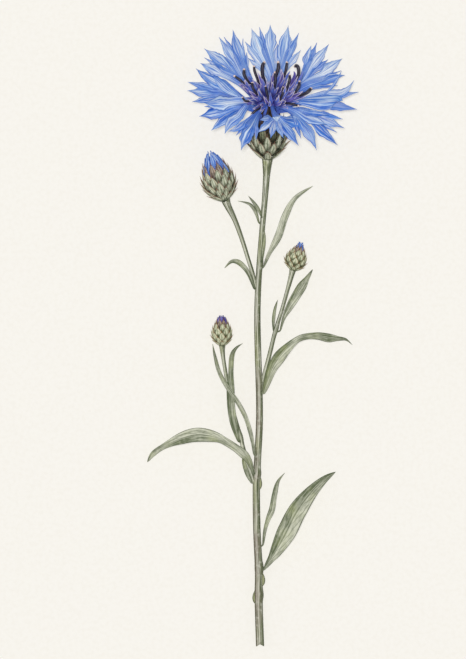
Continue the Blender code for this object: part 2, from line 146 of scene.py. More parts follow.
def shaped(shares: np.ndarray, keys: Keys) -> np.ndarray:
    """Follow a curve through keys that never overshoots them.

    Args:
        shares: where to look.
        keys: (share, value) pairs in rising order.

    Returns:
        One value for each share.
    """
    places, values = np.array(keys, float).T
    runs = np.diff(places)
    slopes = np.diff(values) / runs
    tangents = np.concatenate((slopes[:1], np.zeros(len(values) - 2), slopes[-1:]))
    same = slopes[:-1] * slopes[1:] > 0.0
    total = np.where(same, slopes[:-1] + slopes[1:], 1.0)
    tangents[1:-1] = np.where(same, 2.0 * slopes[:-1] * slopes[1:] / total, 0.0)
    at = np.clip(np.searchsorted(places, shares, side="right") - 1, 0, len(runs) - 1)
    t = np.clip((shares - places[at]) / runs[at], 0.0, 1.0)
    rise = values[at + 1] - values[at]
    start, end = tangents[at] * runs[at], tangents[at + 1] * runs[at]
    bend = (3.0 * rise - 2.0 * start - end) * t**2
    return values[at] + start * t + bend + (start + end - 2.0 * rise) * t**3


def ring_direction(azimuth: float) -> np.ndarray:
    """Return the unit vector out from the head's axis; azimuth 0 is the rear, 90 is +X."""
    turn = math.radians(azimuth)
    return REAR * math.cos(turn) + RIGHT * math.sin(turn)


def head_point(azimuth: float, radius: float, height: float) -> np.ndarray:
    """Return a place in the head from its cylinder coordinates about the head's axis."""
    return HEAD_BASE + AXIS * height + ring_direction(azimuth) * radius


def flat_place(bearing: float, reach: float) -> np.ndarray:
    """Return a place in plan from a bearing about the head's centre and a reach."""
    turn = math.radians(bearing)
    return HEAD_CENTRE[:2] + reach * np.array((math.sin(turn), math.cos(turn)))


def lifted(flat: np.ndarray, layer: float) -> np.ndarray:
    """Raise places in plan to the surface that the ray florets lie on.

    Args:
        flat: places in plan, on the last axis.
        layer: how many steps the floret lies above the lowest ones.

    Returns:
        The same places with their height.
    """
    offset = flat - HEAD_CENTRE[:2]
    reach = np.linalg.norm(offset, axis=-1)
    turn = np.arctan2(offset[..., 0], offset[..., 1])
    slope = sum(size * np.cos(order * turn) for order, size in enumerate(RAY_SLOPES))
    droop = SIDE_DROOP * np.abs(np.sin(turn)) + FRONT_DROOP * np.maximum(-np.cos(turn), 0.0)
    spread = np.clip((reach - LAYER_START) / LAYER_RUN, 0.0, 1.0)
    height = HEAD_CENTRE[2] + slope * reach - droop * reach**2 + layer * spread
    return np.concatenate((flat, height[..., None]), axis=-1)


# --- Meshes -----------------------------------------------------------------------------
def quads(rows: int, columns: int, wrap: bool) -> np.ndarray:
    """List the quads of a grid.

    Args:
        rows: number of rows of places.
        columns: number of places in a row.
        wrap: whether the last column joins the first.

    Returns:
        An array of four corner indices a quad.
    """
    i, j = np.indices((rows - 1, columns if wrap else columns - 1)).reshape(2, -1)
    k = (j + 1) % columns
    near, far = i * columns, (i + 1) * columns
    return np.stack((near + j, near + k, far + k, far + j), axis=1)


def grid_lay(rows: int, columns: int) -> np.ndarray:
    """Return (across, along) from 0 to 1 for the places of a grid."""
    return np.stack(np.meshgrid(np.linspace(0.0, 1.0, columns), np.linspace(0.0, 1.0, rows)), axis=-1)


class Shell:
    """Closed surfaces, in millimetres, that become one mesh."""

    def __init__(self) -> None:
        """Start with no surface."""
        self.places: list[np.ndarray] = []
        self.faces: list[np.ndarray] = []
        self.lays: list[np.ndarray] = []
        self.traits: list[dict[str, np.ndarray]] = []
        self.slots: list[np.ndarray] = []
        self.count = 0

    def _keep(
        self, places: np.ndarray, faces: np.ndarray, lay: np.ndarray, slot: int, traits: dict[str, np.ndarray]
    ) -> None:
        """Store one closed surface with its faces outward.

        Args:
            places: its corners.
            faces: four corner indices a face, the last two alike in a triangle.
            lay: (across, along) of each face's corners.
            slot: the material slot of its faces.
            traits: named values of its corners.
        """
        first, *rest = places[faces].transpose(1, 0, 2)
        volume = sum(np.einsum("ij,ij->", first, np.cross(*pair)) for pair in (rest[:2], rest[1:]))
        if volume < 0.0:
            faces, lay = (np.roll(corners[:, ::-1], 2, axis=1) for corners in (faces, lay))
        self.places.append(places)
        self.faces.append(faces + self.count)
        self.lays.append(lay)
        self.traits.append(traits)
        self.slots.append(np.full(len(faces), slot))
        self.count += len(places)

    def add_sheet(
        self, grid: np.ndarray, thickness: Values, lay: np.ndarray, slot: int = 0, **traits: Values
    ) -> None:
        """Add a sheet with a thickness, closed at its rim.

        Args:
            grid: places of its middle surface, as (rows, columns, 3).
            thickness: a number, or one for each place.
            lay: (across, along) of each place.
            slot: the material slot of its faces.
            traits: named values of each place; "under" is added, 1 on the lower side.
        """
        rows, columns = grid.shape[:2]
        size = rows * columns
        normal = unit(np.cross(np.gradient(grid, axis=1), np.gradient(grid, axis=0)))
        half = 0.5 * np.broadcast_to(thickness, (rows, columns))[..., None] * normal
        places = np.concatenate(((grid + half).reshape(-1, 3), (grid - half).reshape(-1, 3)))
        index = np.arange(size).reshape(rows, columns)
        rim = np.concatenate((index[0, :-1], index[:-1, -1], index[-1, :0:-1], index[:0:-1, 0]))
        after = np.roll(rim, -1)
        sides = np.stack((after, rim, rim + size, after + size), axis=1)
        top = quads(rows, columns, False)
        faces = np.concatenate((top, top[:, ::-1] + size, sides))
        spread = {name: np.tile(np.broadcast_to(value, (rows, columns)).ravel(), 2)
                  for name, value in traits.items()}
        spread["under"] = np.repeat((0.0, 1.0), size)
        self._keep(places, faces, np.tile(lay.reshape(-1, 2), (2, 1))[faces], slot, spread)

    def add_rod(self, rings: np.ndarray, lay: np.ndarray, **traits: Values) -> None:
        """Add a rod with closed ends, in the first material slot.

        Args:
            rings: places of its rings, as (rows, columns, 3).
            lay: (around, along) with one more column than the rings.
            traits: named values of each place.
        """
        rows, columns = rings.shape[:2]
        places = np.concatenate((rings.reshape(-1, 3), rings[:1].mean(axis=1), rings[-1:].mean(axis=1)))
        ring = np.arange(columns)
        after, last = np.roll(ring, -1), (rows - 1) * columns
        foot, tip = (np.full(columns, rows * columns + end) for end in (0, 1))
        caps = np.concatenate((
            np.stack((foot, after, ring, ring), axis=1),
            np.stack((tip, ring + last, after + last, after + last), axis=1),
        ))
        spread = {"under": np.zeros(len(places))}
        for name, value in traits.items():
            flat = np.broadcast_to(value, (rows, columns)).ravel()
            spread[name] = np.concatenate((flat, [flat[:columns].mean(), flat[last:].mean()]))
        lay_flat = lay.reshape(-1, 2)
        cap_lay = np.repeat(lay_flat[[0, -1]], columns * 4, axis=0).reshape(-1, 4, 2)
        lays = np.concatenate((lay_flat[quads(rows, columns + 1, False)], cap_lay))
        self._keep(places, np.concatenate((quads(rows, columns, True), caps)), lays, 0, spread)

    def build(self, name: str, *materials: bpy.types.Material) -> bpy.types.Object:
        """Make the object of all the surfaces.

        Args:
            name: the object's name.
            materials: the materials of its slots.

        Returns:
            The object, linked to the scene.
        """
        mesh = bpy.data.meshes.new(name)
        faces = np.concatenate(self.faces)
        lists = [face[:3] if face[2] == face[3] else face for face in faces.tolist()]
        mesh.from_pydata((np.concatenate(self.places) * MM).tolist(), [], lists)
        kept = np.ones(faces.shape, bool)
        kept[faces[:, 2] == faces[:, 3], 3] = False
        layer = mesh.uv_layers.new(name=LAY)
        layer.data.foreach_set("uv", np.concatenate(self.lays)[kept].astype(np.float32).ravel())
        for trait in sorted({key for group in self.traits for key in group}):
            values = [group.get(trait, np.zeros(len(group["under"]))) for group in self.traits]
            attribute = mesh.attributes.new(trait, "FLOAT", "POINT")
            attribute.data.foreach_set("value", np.concatenate(values).astype(np.float32))
        mesh.polygons.foreach_set("material_index", np.concatenate(self.slots).astype(np.int32))
        for material in materials:
            mesh.materials.append(material)
        mesh.polygons.foreach_set("use_smooth", np.ones(len(lists), bool))
        mesh.set_sharp_from_angle(angle=SHARP_EDGE)
        mesh.validate()
        return linked(name, mesh)


def linked(name: str, mesh: bpy.types.Mesh) -> bpy.types.Object:
    """Link a mesh to the scene.

    Args:
        name: the object's name.
        mesh: its mesh.

    Returns:
        The object.
    """
    obj = bpy.data.objects.new(name, mesh)
    bpy.context.scene.collection.objects.link(obj)
    return obj


def ribbon(centre: np.ndarray, half: np.ndarray, columns: int, keel: float) -> np.ndarray:
    """Lay out a long narrow blade.

    Args:
        centre: places of its midrib, one a row.
        half: half of its width at each row.
        columns: number of places across it.
        keel: rise of its edges against its half width, as a fold at the midrib.

    Returns:
        Places as (rows, columns, 3).
    """
    ahead = unit(np.gradient(centre, axis=0))
    side = unit(np.cross(ahead, UP))
    lift = np.cross(side, ahead)
    across = np.linspace(-1.0, 1.0, columns)
    out, rise = np.outer(half, across), np.outer(half * keel, np.abs(across))
    return centre[:, None] + side[:, None] * out[..., None] + lift[:, None] * rise[..., None]


def ring_frame(centre: np.ndarray) -> tuple[np.ndarray, np.ndarray]:
    """Carry a cross-section along a route without twisting it.

    Args:
        centre: places of the route, one a row.

    Returns:
        The side and lift vectors of each row.
    """
    ahead = unit(np.gradient(centre, axis=0))
    side = [RIGHT]
    for step in ahead:
        side.append(unit(side[-1] - step * float(side[-1] @ step)))
    side = np.array(side[1:])
    return side, np.cross(side, ahead)


def rings_of(centre: np.ndarray, radius: np.ndarray, columns: int) -> np.ndarray:
    """Lay out the rings of a rod.

    Args:
        centre: places of its axis, one a row.
        radius: its radius, one a row or one for each place.
        columns: number of places round it.

    Returns:
        Places as (rows, columns, 3); column 0 is on the +X side.
    """
    side, lift = ring_frame(centre)
    turn = turns(columns)[None, :, None]
    radius = radius[:, None] if radius.ndim == 1 else radius
    out = side[:, None] * np.cos(turn) + lift[:, None] * np.sin(turn)
    return centre[:, None] + out * radius[..., None]


# --- Node trees -------------------------------------------------------------------------
class Wire:
    """One output of a node tree, with arithmetic."""

    def __init__(self, net: Net, socket: bpy.types.NodeSocket) -> None:
        """Wrap a socket of a tree."""
        self.net = net
        self.socket = socket

    def __add__(self, other: Amount) -> Wire:
        """Return this plus the other."""
        return self.net.maths("ADD", self, other)

    def __radd__(self, other: Amount) -> Wire:
        """Return the other plus this."""
        return self.net.maths("ADD", other, self)

    def __sub__(self, other: Amount) -> Wire:
        """Return this less the other."""
        return self.net.maths("SUBTRACT", self, other)

    def __rsub__(self, other: Amount) -> Wire:
        """Return the other less this."""
        return self.net.maths("SUBTRACT", other, self)

    def __mul__(self, other: Amount) -> Wire:
        """Return this times the other."""
        return self.net.maths("MULTIPLY", self, other)

    def __rmul__(self, other: Amount) -> Wire:
        """Return the other times this."""
        return self.net.maths("MULTIPLY", other, self)

    def __truediv__(self, other: Amount) -> Wire:
        """Return this over the other."""
        return self.net.maths("DIVIDE", self, other)

    def __rtruediv__(self, other: Amount) -> Wire:
        """Return the other over this."""
        return self.net.maths("DIVIDE", other, self)

    def __abs__(self) -> Wire:
        """Return the size of this without its sign."""
        return self.net.maths("ABSOLUTE", self)

    def sine(self) -> Wire:
        """Return the sine of this."""
        return self.net.maths("SINE", self)

    def part(self) -> Wire:
        """Return what is past the whole number."""
        return self.net.maths("FRACT", self)

    def step(self, low: float, high: float) -> Wire:
        """Return 0 below low, 1 above high and an eased step between them."""
        ends = {"Value": self, "From Min": low, "From Max": high}
        return self.net.wire("ShaderNodeMapRange", ends, "Result", interpolation_type="SMOOTHSTEP")


Amount = Wire | float
Colour = Wire | str


class Net:
    """A node tree that is filled by calls."""

    def __init__(self, tree: bpy.types.NodeTree) -> None:
        """Take the tree to fill."""
        self.tree = tree

    def add(self, kind: str, sockets: dict | None = None, **settings: object) -> bpy.types.Node:
        """Add a node.

        Args:
            kind: the node's type.
            sockets: inputs by name or number, each a Wire or a constant.
            settings: its own settings by name, which are set first.

        Returns:
            The node.
        """
        node = self.tree.nodes.new(kind)
        for name, value in settings.items():
            setattr(node, name, value)
        for name, value in (sockets or {}).items():
            if isinstance(value, Wire):
                self.tree.links.new(value.socket, node.inputs[name])
            else:
                node.inputs[name].default_value = value
        return node

    def wire(
        self, kind: str, sockets: dict | None = None, output: int | str = 0, **settings: object
    ) -> Wire:
        """Add a node and take one of its outputs.

        Args:
            kind: the node's type.
            sockets: inputs by name or number, each a Wire or a constant.
            output: the output's name or number.
            settings: its own settings by name.

        Returns:
            The output.
        """
        return Wire(self, self.add(kind, sockets, **settings).outputs[output])

    def maths(self, operation: str, *values: Amount) -> Wire:
        """Return one step of arithmetic on wires and numbers."""
        return self.wire("ShaderNodeMath", dict(enumerate(values)), operation=operation)

    def vector(self, x: Amount, y: Amount, z: Amount) -> Wire:
        """Return a vector of three wires or numbers."""
        return self.wire("ShaderNodeCombineXYZ", {"X": x, "Y": y, "Z": z})


class Shade(Net):
    """The node tree of one material."""

    def __init__(self, name: str) -> None:
        """Start an empty material.

        Args:
            name: its name.
        """
        self.material = bpy.data.materials.new(name)
        self.material.use_nodes = True
        super().__init__(self.material.node_tree)
        self.tree.nodes.clear()

    def lay(self) -> tuple[Wire, Wire]:
        """Return across and along of the piece's own map."""
        split = self.add("ShaderNodeSeparateXYZ", {0: self.wire("ShaderNodeUVMap", uv_map=LAY)})
        return Wire(self, split.outputs[0]), Wire(self, split.outputs[1])

    def place(self) -> Wire:
        """Return the object coordinates."""
        return self.wire("ShaderNodeTexCoord", output="Object")

    def trait(self, name: str) -> Wire:
        """Return a named value of the mesh."""
        return self.wire("ShaderNodeAttribute", output="Fac", attribute_name=name)

    def noise(self, vector: Wire, scale: float = 1.0, detail: float = 2.0) -> Wire:
        """Return noise about one half."""
        return self.wire("ShaderNodeTexNoise", {"Vector": vector, "Scale": scale, "Detail": detail})

    def blend(self, amount: Amount, first: Colour, second: Colour) -> Wire:
        """Return the mix of two colours, the first at amount 0."""
        pair = [paint(colour) if isinstance(colour, str) else colour for colour in (first, second)]
        return self.wire("ShaderNodeMix", {0: amount, 6: pair[0], 7: pair[1]}, 2, data_type="RGBA")

    def coats(self, colour: Colour, *coats: tuple[Amount, Colour]) -> Wire:
        """Lay coats over a colour, one on the other.

        Args:
            colour: what they lie on.
            coats: (amount, colour) of each coat.

        Returns:
            The finished colour.
        """
        for amount, coat in coats:
            colour = self.blend(amount, colour, coat)
        return colour

    def finish(
        self, colour: Wire, roughness: float, bump: Wire | None = None, depth: float = 0.1, **more: Amount
    ) -> bpy.types.Material:
        """Close the tree with one Principled shader.

        Args:
            colour: its base colour.
            roughness: its roughness.
            bump: a height to shade it with.
            depth: the height's reach in millimetres.
            more: more inputs by name, with underscores for spaces.

        Returns:
            The material.
        """
        sockets = {"Base Color": colour, "Roughness": roughness}
        if bump is not None:
            relief = {"Height": bump, "Distance": depth * MM, "Strength": 1.0}
            sockets["Normal"] = self.wire("ShaderNodeBump", relief)
        sockets |= {name.replace("_", " "): value for name, value in more.items()}
        self.add("ShaderNodeOutputMaterial", {"Surface": self.wire("ShaderNodeBsdfPrincipled", sockets)})
        return self.material


# --- Finishes ---------------------------------------------------------------------------
@dataclass(frozen=True)
class PetalFinish:
    """Blue of a floret: dark fine lines, painted highlight streaks, dark edges, a violet foot and painted
    shade low in the head.
    """

    name: str = "petal_blue"
    deep: str = "2961c4"
    middle: str = "72a5e8"
    pale: str = "bbd6f2"
    white: str = "eaf0f5"
    edge: str = "2f62ba"
    foot: str = "3c4fb2"
    root: str = "2b2530"
    shadow: str = "4a3c30"

    def make(self) -> bpy.types.Material:
        """Make the material.

        Returns:
            The material.
        """
        shade = Shade(self.name)
        across, share = shade.lay()
        seed = shade.trait("seed") * 23.0
        wash, dusk = shade.trait("wash"), shade.trait("dusk")
        rim = abs(across - 0.5) * 2.0
        body = 1.0 - rim.step(0.62, 0.95)
        fine = shade.noise(shade.vector(across * 5.2 + seed, share * 1.4, seed), detail=3.0)
        broad = shade.noise(shade.vector(across * 2.6 + seed, share * 1.1, seed + 5.0), detail=1.0)
        hair = shade.noise(shade.vector(across * 15.0 + broad * 2.0, share * 2.2, seed + 9.0))
        wet = shade.noise(shade.place(), 330.0, 3.0)
        # A pale streak down the middle of each lobe: painted highlight.
        highlight_streak = (broad * 0.75 + (1.0 - fine) * 0.4).step(0.54, 0.7) * body * share.step(0.26, 0.45)
        vein = 1.0 - abs((across * 4.0 + broad * 1.1).part() - 0.5).step(0.0, 0.2)
        # Near the tube's foot the petal takes the root and shadow colours: painted shade deep in the head,
        # reaching further up by the floret's own amount.
        depth = share + (fine - 0.5) * 0.12 - dusk
        colour = shade.coats(
            self.middle,
            (fine.step(0.4, 0.6), self.deep),
            # Paleness of each floret and lobe; on the lip flap it is a painted highlight.
            (wet.step(0.42, 0.66) * 0.4, self.pale),
            (wash * 0.8, self.pale),
            ((1.0 - broad.step(0.32, 0.52)) * 0.5, self.deep),
            (highlight_streak * (0.6 + wash * 0.4) * (1.0 - share.step(0.8, 0.98)), self.white),
            ((1.0 - hair.step(0.36, 0.46)) * 0.45 * share.step(0.2, 0.4), self.white),
            (hair.step(0.54, 0.64) * 0.5, self.deep),
            # Painted shade on lobes that lie under their neighbours.
            (shade.trait("deep"), self.deep),
            (vein * 0.55 * share.step(0.2, 0.4), self.deep),
            # Dark rim: outline and painted edge shade.
            (rim.step(0.82, 1.0) * (0.3 + share.step(0.36, 0.5) * 0.45), self.edge),
            (share.step(0.88, 1.0) * 0.45, self.edge),
            # Violet foot, its own tone and also painted shade where the florets meet.
            ((1.0 - share.step(0.16, 0.4)) * 0.8, self.foot),
            # Painted shade at the tube's foot, deep in the head.
            (1.0 - depth.step(0.05, 0.14), shade.blend(fine.step(0.42, 0.6), self.root, self.shadow)),
        )
        return shade.finish(colour, 0.8, fine, 0.08, Specular_IOR_Level=0.15)


@dataclass(frozen=True)
class LeafFinish:
    """Sage green of a leaf: halves in painted light and shade, long pale streaks, soft side veins and dark
    edges.
    """

    name: str = "leaf_sage"
    dark: str = "566046"
    middle: str = "8f9773"
    pale: str = "e0e0cd"
    yellow: str = "a2aa6c"
    edge: str = "465036"

    def make(self) -> bpy.types.Material:
        """Make the material.

        Returns:
            The material.
        """
        shade = Shade(self.name)
        across, share = shade.lay()
        tone, length = shade.trait("tone"), shade.trait("length")
        rim = abs(across - 0.5) * 2.0
        reach = share * length
        place = shade.place()
        grain = shade.noise(place, 900.0, 3.0)
        blotch = shade.noise(place, 190.0)
        fibre = shade.noise(shade.vector(across * 9.0 + blotch * 1.2, reach * 0.2, length), detail=3.0)
        slant = reach * 0.26 - rim * 2.1 + blotch * 1.6
        veins = 1.0 - abs(slant.part() - 0.5).step(0.0, 0.16)
        veins = veins * rim.step(0.05, 0.2) * (1.0 - rim.step(0.7, 0.95))
        shift = (fibre - 0.5) * 2.1 + (grain - 0.5) * 0.8 + (blotch - 0.5) * 0.8
        colour = shade.coats(
            self.dark,
            # Each half is paled by its own amount: painted light on one half of the folded blade, painted
            # shade on the other.
            (tone * 0.82 + shift, self.pale),
            (0.2, self.middle),
            (blotch.step(0.46, 0.66) * (1.0 - tone * 0.5) * 0.4, self.yellow),
            (shade.trait("under") * 0.3, self.yellow),
            (veins * 0.5, self.dark),
            ((1.0 - share.step(0.02, 0.3)) * 0.45, self.dark),
            (rim.step(0.06, 0.14) * (1.0 - rim.step(0.16, 0.28)) * 0.3, self.pale),
            ((1.0 - rim.step(0.0, 0.09)) * 0.6, self.edge),
            (rim.step(0.88, 1.0) * 0.85, self.edge),
        )
        return shade.finish(colour, 0.75, fibre * 0.6 + veins * 0.4, 0.12, Specular_IOR_Level=0.2)


@dataclass(frozen=True)
class StemFinish:
    """Ribbed green of a stem: a painted highlight left of the middle, painted shade on the right, the flanks
    and in the grooves, brown-violet low.
    """

    name: str = "stem_green"
    dark: str = "4a5336"
    middle: str = "92977a"
    pale: str = "e6e5d6"
    blush: str = "857269"
    yellow: str = "a3aa68"
    ear: str = "9da07a"

    def make(self) -> bpy.types.Material:
        """Make the material.

        Returns:
            The material.
        """
        shade = Shade(self.name)
        across, share = shade.lay()
        side, low = shade.trait("side"), shade.trait("low")
        place = shade.place()
        mottle = shade.noise(place, 800.0, 3.0)
        blotch = shade.noise(place, 260.0)
        runs = shade.noise(shade.vector(across * 22.0, share * 1.1, 4.0), detail=3.0)
        drift = side + (shade.noise(shade.vector(share * 0.4, 3.0, 0.0)) - 0.5) * 0.7
        # A pale stripe left of the middle is painted highlight; the darker right side further down is painted
        # shade.
        light = drift.step(-0.85, -0.4) * (1.0 - drift.step(-0.05, 0.25))
        # Dark groove lines: painted shade in the grooves.
        groove_shade = 1.0 - abs((drift * 1.45 + 0.1).part() - 0.5).step(0.02, 0.2)
        patch = shade.noise(shade.vector(share * 0.7, 7.0, 0.0), detail=1.0).step(0.46, 0.62)
        stain = (1.0 - drift.step(-0.85, -0.3)) * 0.75 + blotch.step(0.5, 0.66) * 0.25
        stain = stain + drift.step(-0.5, -0.1) * (1.0 - drift.step(0.0, 0.3)) * 0.3
        colour = shade.coats(
            self.middle,
            (light * 0.8, self.pale),
            (patch * (1.0 - drift.step(-0.2, 0.3)) * 0.6, self.yellow),
            (drift.step(0.15, 0.6) * 0.6, self.dark),
            ((1.0 - runs.step(0.36, 0.48)) * 0.6, self.pale),
            (runs.step(0.52, 0.6) * 0.75, self.dark),
            (groove_shade * 0.7, self.dark),
            (stain * low * (1.0 - patch * 0.6), self.blush),
            (mottle.step(0.54, 0.72) * 0.35, self.pale),
            # Darker flanks of the stem: painted shade.
            (abs(side).step(0.66, 0.95) * 0.9 * (1.0 - low * 0.15), self.dark),
            # An ear is its own green, with painted shade on its flanks.
            (shade.trait("ear"), shade.blend(abs(side).step(0.34, 0.52), self.ear, self.dark)),
        )
        return shade.finish(colour, 0.75, runs, 0.1, Specular_IOR_Level=0.2)


@dataclass(frozen=True)
class BractFinish:
    """Sage green of a bract: pale ribs, painted shade at its foot and left flank, a dark right margin, a
    painted cream highlight and a brown tip.
    """

    name: str = "bract_sage"
    dark: str = "343a2a"
    middle: str = "858f72"
    pale: str = "d8dac2"
    highlight_cream: str = "cdc3a6"
    brown: str = "95705c"
    soot: str = "46352c"

    def make(self) -> bpy.types.Material:
        """Make the material.

        Returns:
            The material.
        """
        shade = Shade(self.name)
        across, share = shade.lay()
        rim = abs(across - 0.5) * 2.0
        grain = shade.noise(shade.place(), 1100.0, 3.0)
        ribs = (across * 19.0 + shade.trait("seed") * 31.0).sine() * 0.5 + 0.5
        # A cream stripe inside the right edge: painted highlight.
        edge_highlight = across.step(0.74, 0.84) * (1.0 - across.step(0.92, 0.98)) * share.step(0.3, 0.5)
        colour = shade.coats(
            self.dark,
            # Dark at the foot, under the bract below: painted shade.
            (share.step(0.05, 0.55), self.middle),
            (ribs * (1.0 - rim.step(0.55, 0.8)) * share.step(0.2, 0.5) * 0.95, self.pale),
            # Left flank darker: painted shade.
            ((1.0 - across.step(0.06, 0.36)) * 0.8, self.dark),
            (grain.step(0.46, 0.68) * 0.35, self.pale),
            ((1.0 - grain.step(0.36, 0.5)) * 0.4, self.dark),
            (edge_highlight * 0.85, self.highlight_cream),
            (across.step(0.93, 1.0) * 0.75, self.soot),
            (share.step(0.86, 0.96), self.brown),
            (rim.step(0.86, 1.0) * share.step(0.6, 0.85) * 0.6, self.brown),
            (share.step(1.02, 1.2) * 0.35, self.soot),
        )
        return shade.finish(colour, 0.75, ribs, 0.05, Specular_IOR_Level=0.2)


@dataclass(frozen=True)
class AntherFinish:
    """Near-black violet of an anther column with painted highlight lines, a cream and pink end, and a blue
    tube that is dark brown painted shade at its foot.
    """

    name: str = "anther_violet"
    body: str = "1c1826"
    highlight_sheen: str = "585270"
    end: str = "efd6c9"
    tube: str = "5a5cb8"
    root: str = "221a16"
    shaded_foot_rib: str = "5d4b36"

    def make(self) -> bpy.types.Material:
        """Make the material.

        Returns:
            The material.
        """
        shade = Shade(self.name)
        across, share = shade.lay()
        ribs = ((across * 31.4).sine() * 0.5 + 0.5).step(0.55, 1.0)
        colour = shade.coats(
            self.body,
            # Pale lines along the ribs: painted highlight.
            (ribs * 0.55, self.highlight_sheen),
            (share.step(0.915, 0.945), self.end),
            (1.0 - share.step(0.4, 0.47), self.tube),
            # Dark brown at the floret's foot, deep in the head: painted shade.
            (1.0 - share.step(0.22, 0.32), shade.blend(ribs, self.root, self.shaded_foot_rib)),
        )
        return shade.finish(colour, 0.5, ribs, 0.03)


@dataclass(frozen=True)
class CorollaFinish:
    """Violet-blue of a disc floret's lobe, deeper at its foot as painted shade, with a painted pink-white
    highlight on its tip and edges.
    """

    name: str = "corolla_violet"
    body: str = "5a74d2"
    violet: str = "7064b8"
    deep: str = "2e2c78"
    edge: str = "e6dae8"

    def make(self) -> bpy.types.Material:
        """Make the material.

        Returns:
            The material.
        """
        shade = Shade(self.name)
        across, share = shade.lay()
        seed = shade.trait("seed")
        rim = abs(across - 0.5) * 2.0
        runs = shade.noise(shade.vector(across * 3.0 + seed * 29.0, share * 1.2, seed * 11.0))
        # Pink-white on the edges and tip: painted highlight.
        pale = rim.step(0.5, 1.0) * share.step(0.3, 0.6) + share.step(0.72, 1.0) * 0.8
        colour = shade.coats(
            self.body,
            (seed.step(0.35, 0.65), self.violet),
            (runs.step(0.45, 0.6) * 0.7, self.deep),
            # Deeper towards the lobe's foot: painted shade between the lobes.
            (1.0 - share.step(0.1, 0.5), self.deep),
            (pale * (runs * 0.7 + (seed * 7.0).part()).step(0.4, 0.9) * 0.85, self.edge),
        )
        return shade.finish(colour, 0.65)


@dataclass(frozen=True)
class ChaffFinish:
    """Dark brown, as painted shade, of the floor of the head and its bristles."""

    name: str = "chaff_painted_shade"
    dark: str = "2a2218"
    light: str = "6b5a40"

    def make(self) -> bpy.types.Material:
        """Make the material.

        Returns:
            The material.
        """
        shade = Shade(self.name)
        grain = shade.noise(shade.place(), 900.0, 3.0)
        return shade.finish(shade.blend(grain.step(0.4, 0.7), self.dark, self.light), 0.8)


@dataclass(frozen=True)
class HairFinish:
    """Pale grey of the down on a stem."""

    name: str = "down_grey"
    body: str = "d8d6c8"
    fleck: str = "a9aa95"

    def make(self) -> bpy.types.Material:
        """Make the material.

        Returns:
            The material.
        """
        shade = Shade(self.name)
        grain = shade.noise(shade.place(), 500.0, 1.0)
        return shade.finish(shade.blend(grain * 0.3, self.body, self.fleck), 0.9)


@dataclass(frozen=True)
class PaperFinish:
    """Warm white of the surface that the plant lies on, part of it its own glow."""

    name: str = "paper_warm"
    body: str = "f8f5ee"
    fleck: str = "f3efe6"
    glow: float = 0.5

    def make(self) -> bpy.types.Material:
        """Make the material.

        Returns:
            The material.
        """
        shade = Shade(self.name)
        grain = shade.noise(shade.place(), 900.0, 3.0)
        colour = shade.blend(grain.step(0.35, 0.75) * 0.5, self.body, self.fleck)
        glow = {"Emission_Color": colour, "Emission_Strength": self.glow}
        matt = shade.blend(self.glow, colour, "000000")
        return shade.finish(matt, 0.95, Specular_IOR_Level=0.0, **glow)


FINISHES = {
    "petal": PetalFinish(), "leaf": LeafFinish(), "stem": StemFinish(), "bract": BractFinish(),
    "bract_pale": BractFinish("bract_olive", "454c31", "a0a781", "e3e3c6", "ddd3b0", "967650", "5c4a34"),
    "bract_brown": BractFinish("bract_umber", "33282a", "77665a", "b3a493", "c9b49b", "8d5d4d", "2e2224"),
    # A darker copy of the bract finish for the row under the florets: painted shade.
    "bract_in_painted_shade": BractFinish("bract_painted_shade", "25241b", "5c6048", "8e9273", "93876c", "6d5040", "2a201b"),
    "petal_violet": PetalFinish("petal_violet", deep="3d3a9a", middle="6a66b8", pale="a9a0d0", white="ded0e0",
                                edge="2e2a78", foot="4a4190"),
    "anther": AntherFinish(), "corolla": CorollaFinish(), "chaff": ChaffFinish(), "hair": HairFinish(),
    "paper": PaperFinish(),
}


# --- Growth -----------------------------------------------------------------------------
class Recipe(Net):
    """A Geometry Nodes tree with named inputs."""

    def __init__(self, name: str) -> None:
        """Start a tree with one geometry output.

        Args:
            name: its name.
        """
        super().__init__(bpy.data.node_groups.new(name, "GeometryNodeTree"))
        self.tree.interface.new_socket("Geometry", in_out="OUTPUT", socket_type="NodeSocketGeometry")
        self.asked: dict[str, str] = {}

    def ask(self, name: str, kind: str) -> Wire:
        """Add a named input.

        Args:
            name: its name.
            kind: what it takes, as in its socket's type.

        Returns:
            The input.
        """
        item = self.tree.interface.new_socket(name, in_out="INPUT", socket_type=f"NodeSocket{kind}")
        self.asked[name] = item.identifier
        node = self.add("NodeGroupInput")
        return Wire(self, next(out for out in node.outputs if out.identifier == item.identifier))

    def shape_of(self, source: Wire) -> Wire:
        """Return the geometry of an object, about its own origin."""
        return self.wire("GeometryNodeObjectInfo", {"Object": source}, "Geometry", transform_space="ORIGINAL")

    def close(self, result: Wire, material: Wire) -> None:
        """Realize the result, set its material and make it the tree's output.

        Args:
            result: the geometry.
            material: the material of all of it.
        """
        real = self.wire("GeometryNodeRealizeInstances", {0: result})
        self.add("NodeGroupOutput", {
            0: self.wire("GeometryNodeSetMaterial", {"Geometry": real, "Material": material}),
        })

    def grow(self, name: str, base: bpy.types.Object | None = None, **values: object) -> bpy.types.Object:
        """Run the tree once.

        Args:
            name: the name of the object it leaves.
            base: the object whose mesh it starts on, or None for an empty one.
            values: the tree's inputs by name, with underscores for spaces.

        Returns:
            A plain mesh object, linked to the scene.
        """
        host = linked(f"{name}_host", base.data if base else bpy.data.meshes.new(f"{name}_seed"))
        modifier = host.modifiers.new("Growth", "NODES")
        modifier.node_group = self.tree
        for key, value in values.items():
            modifier[self.asked[key.replace("_", " ")]] = value
        bpy.context.view_layer.update()
        graph = bpy.context.evaluated_depsgraph_get()
        made = bpy.data.meshes.new_from_object(host.evaluated_get(graph), depsgraph=graph)
        made.name = name
        bpy.data.objects.remove(host)
        return linked(name, made)


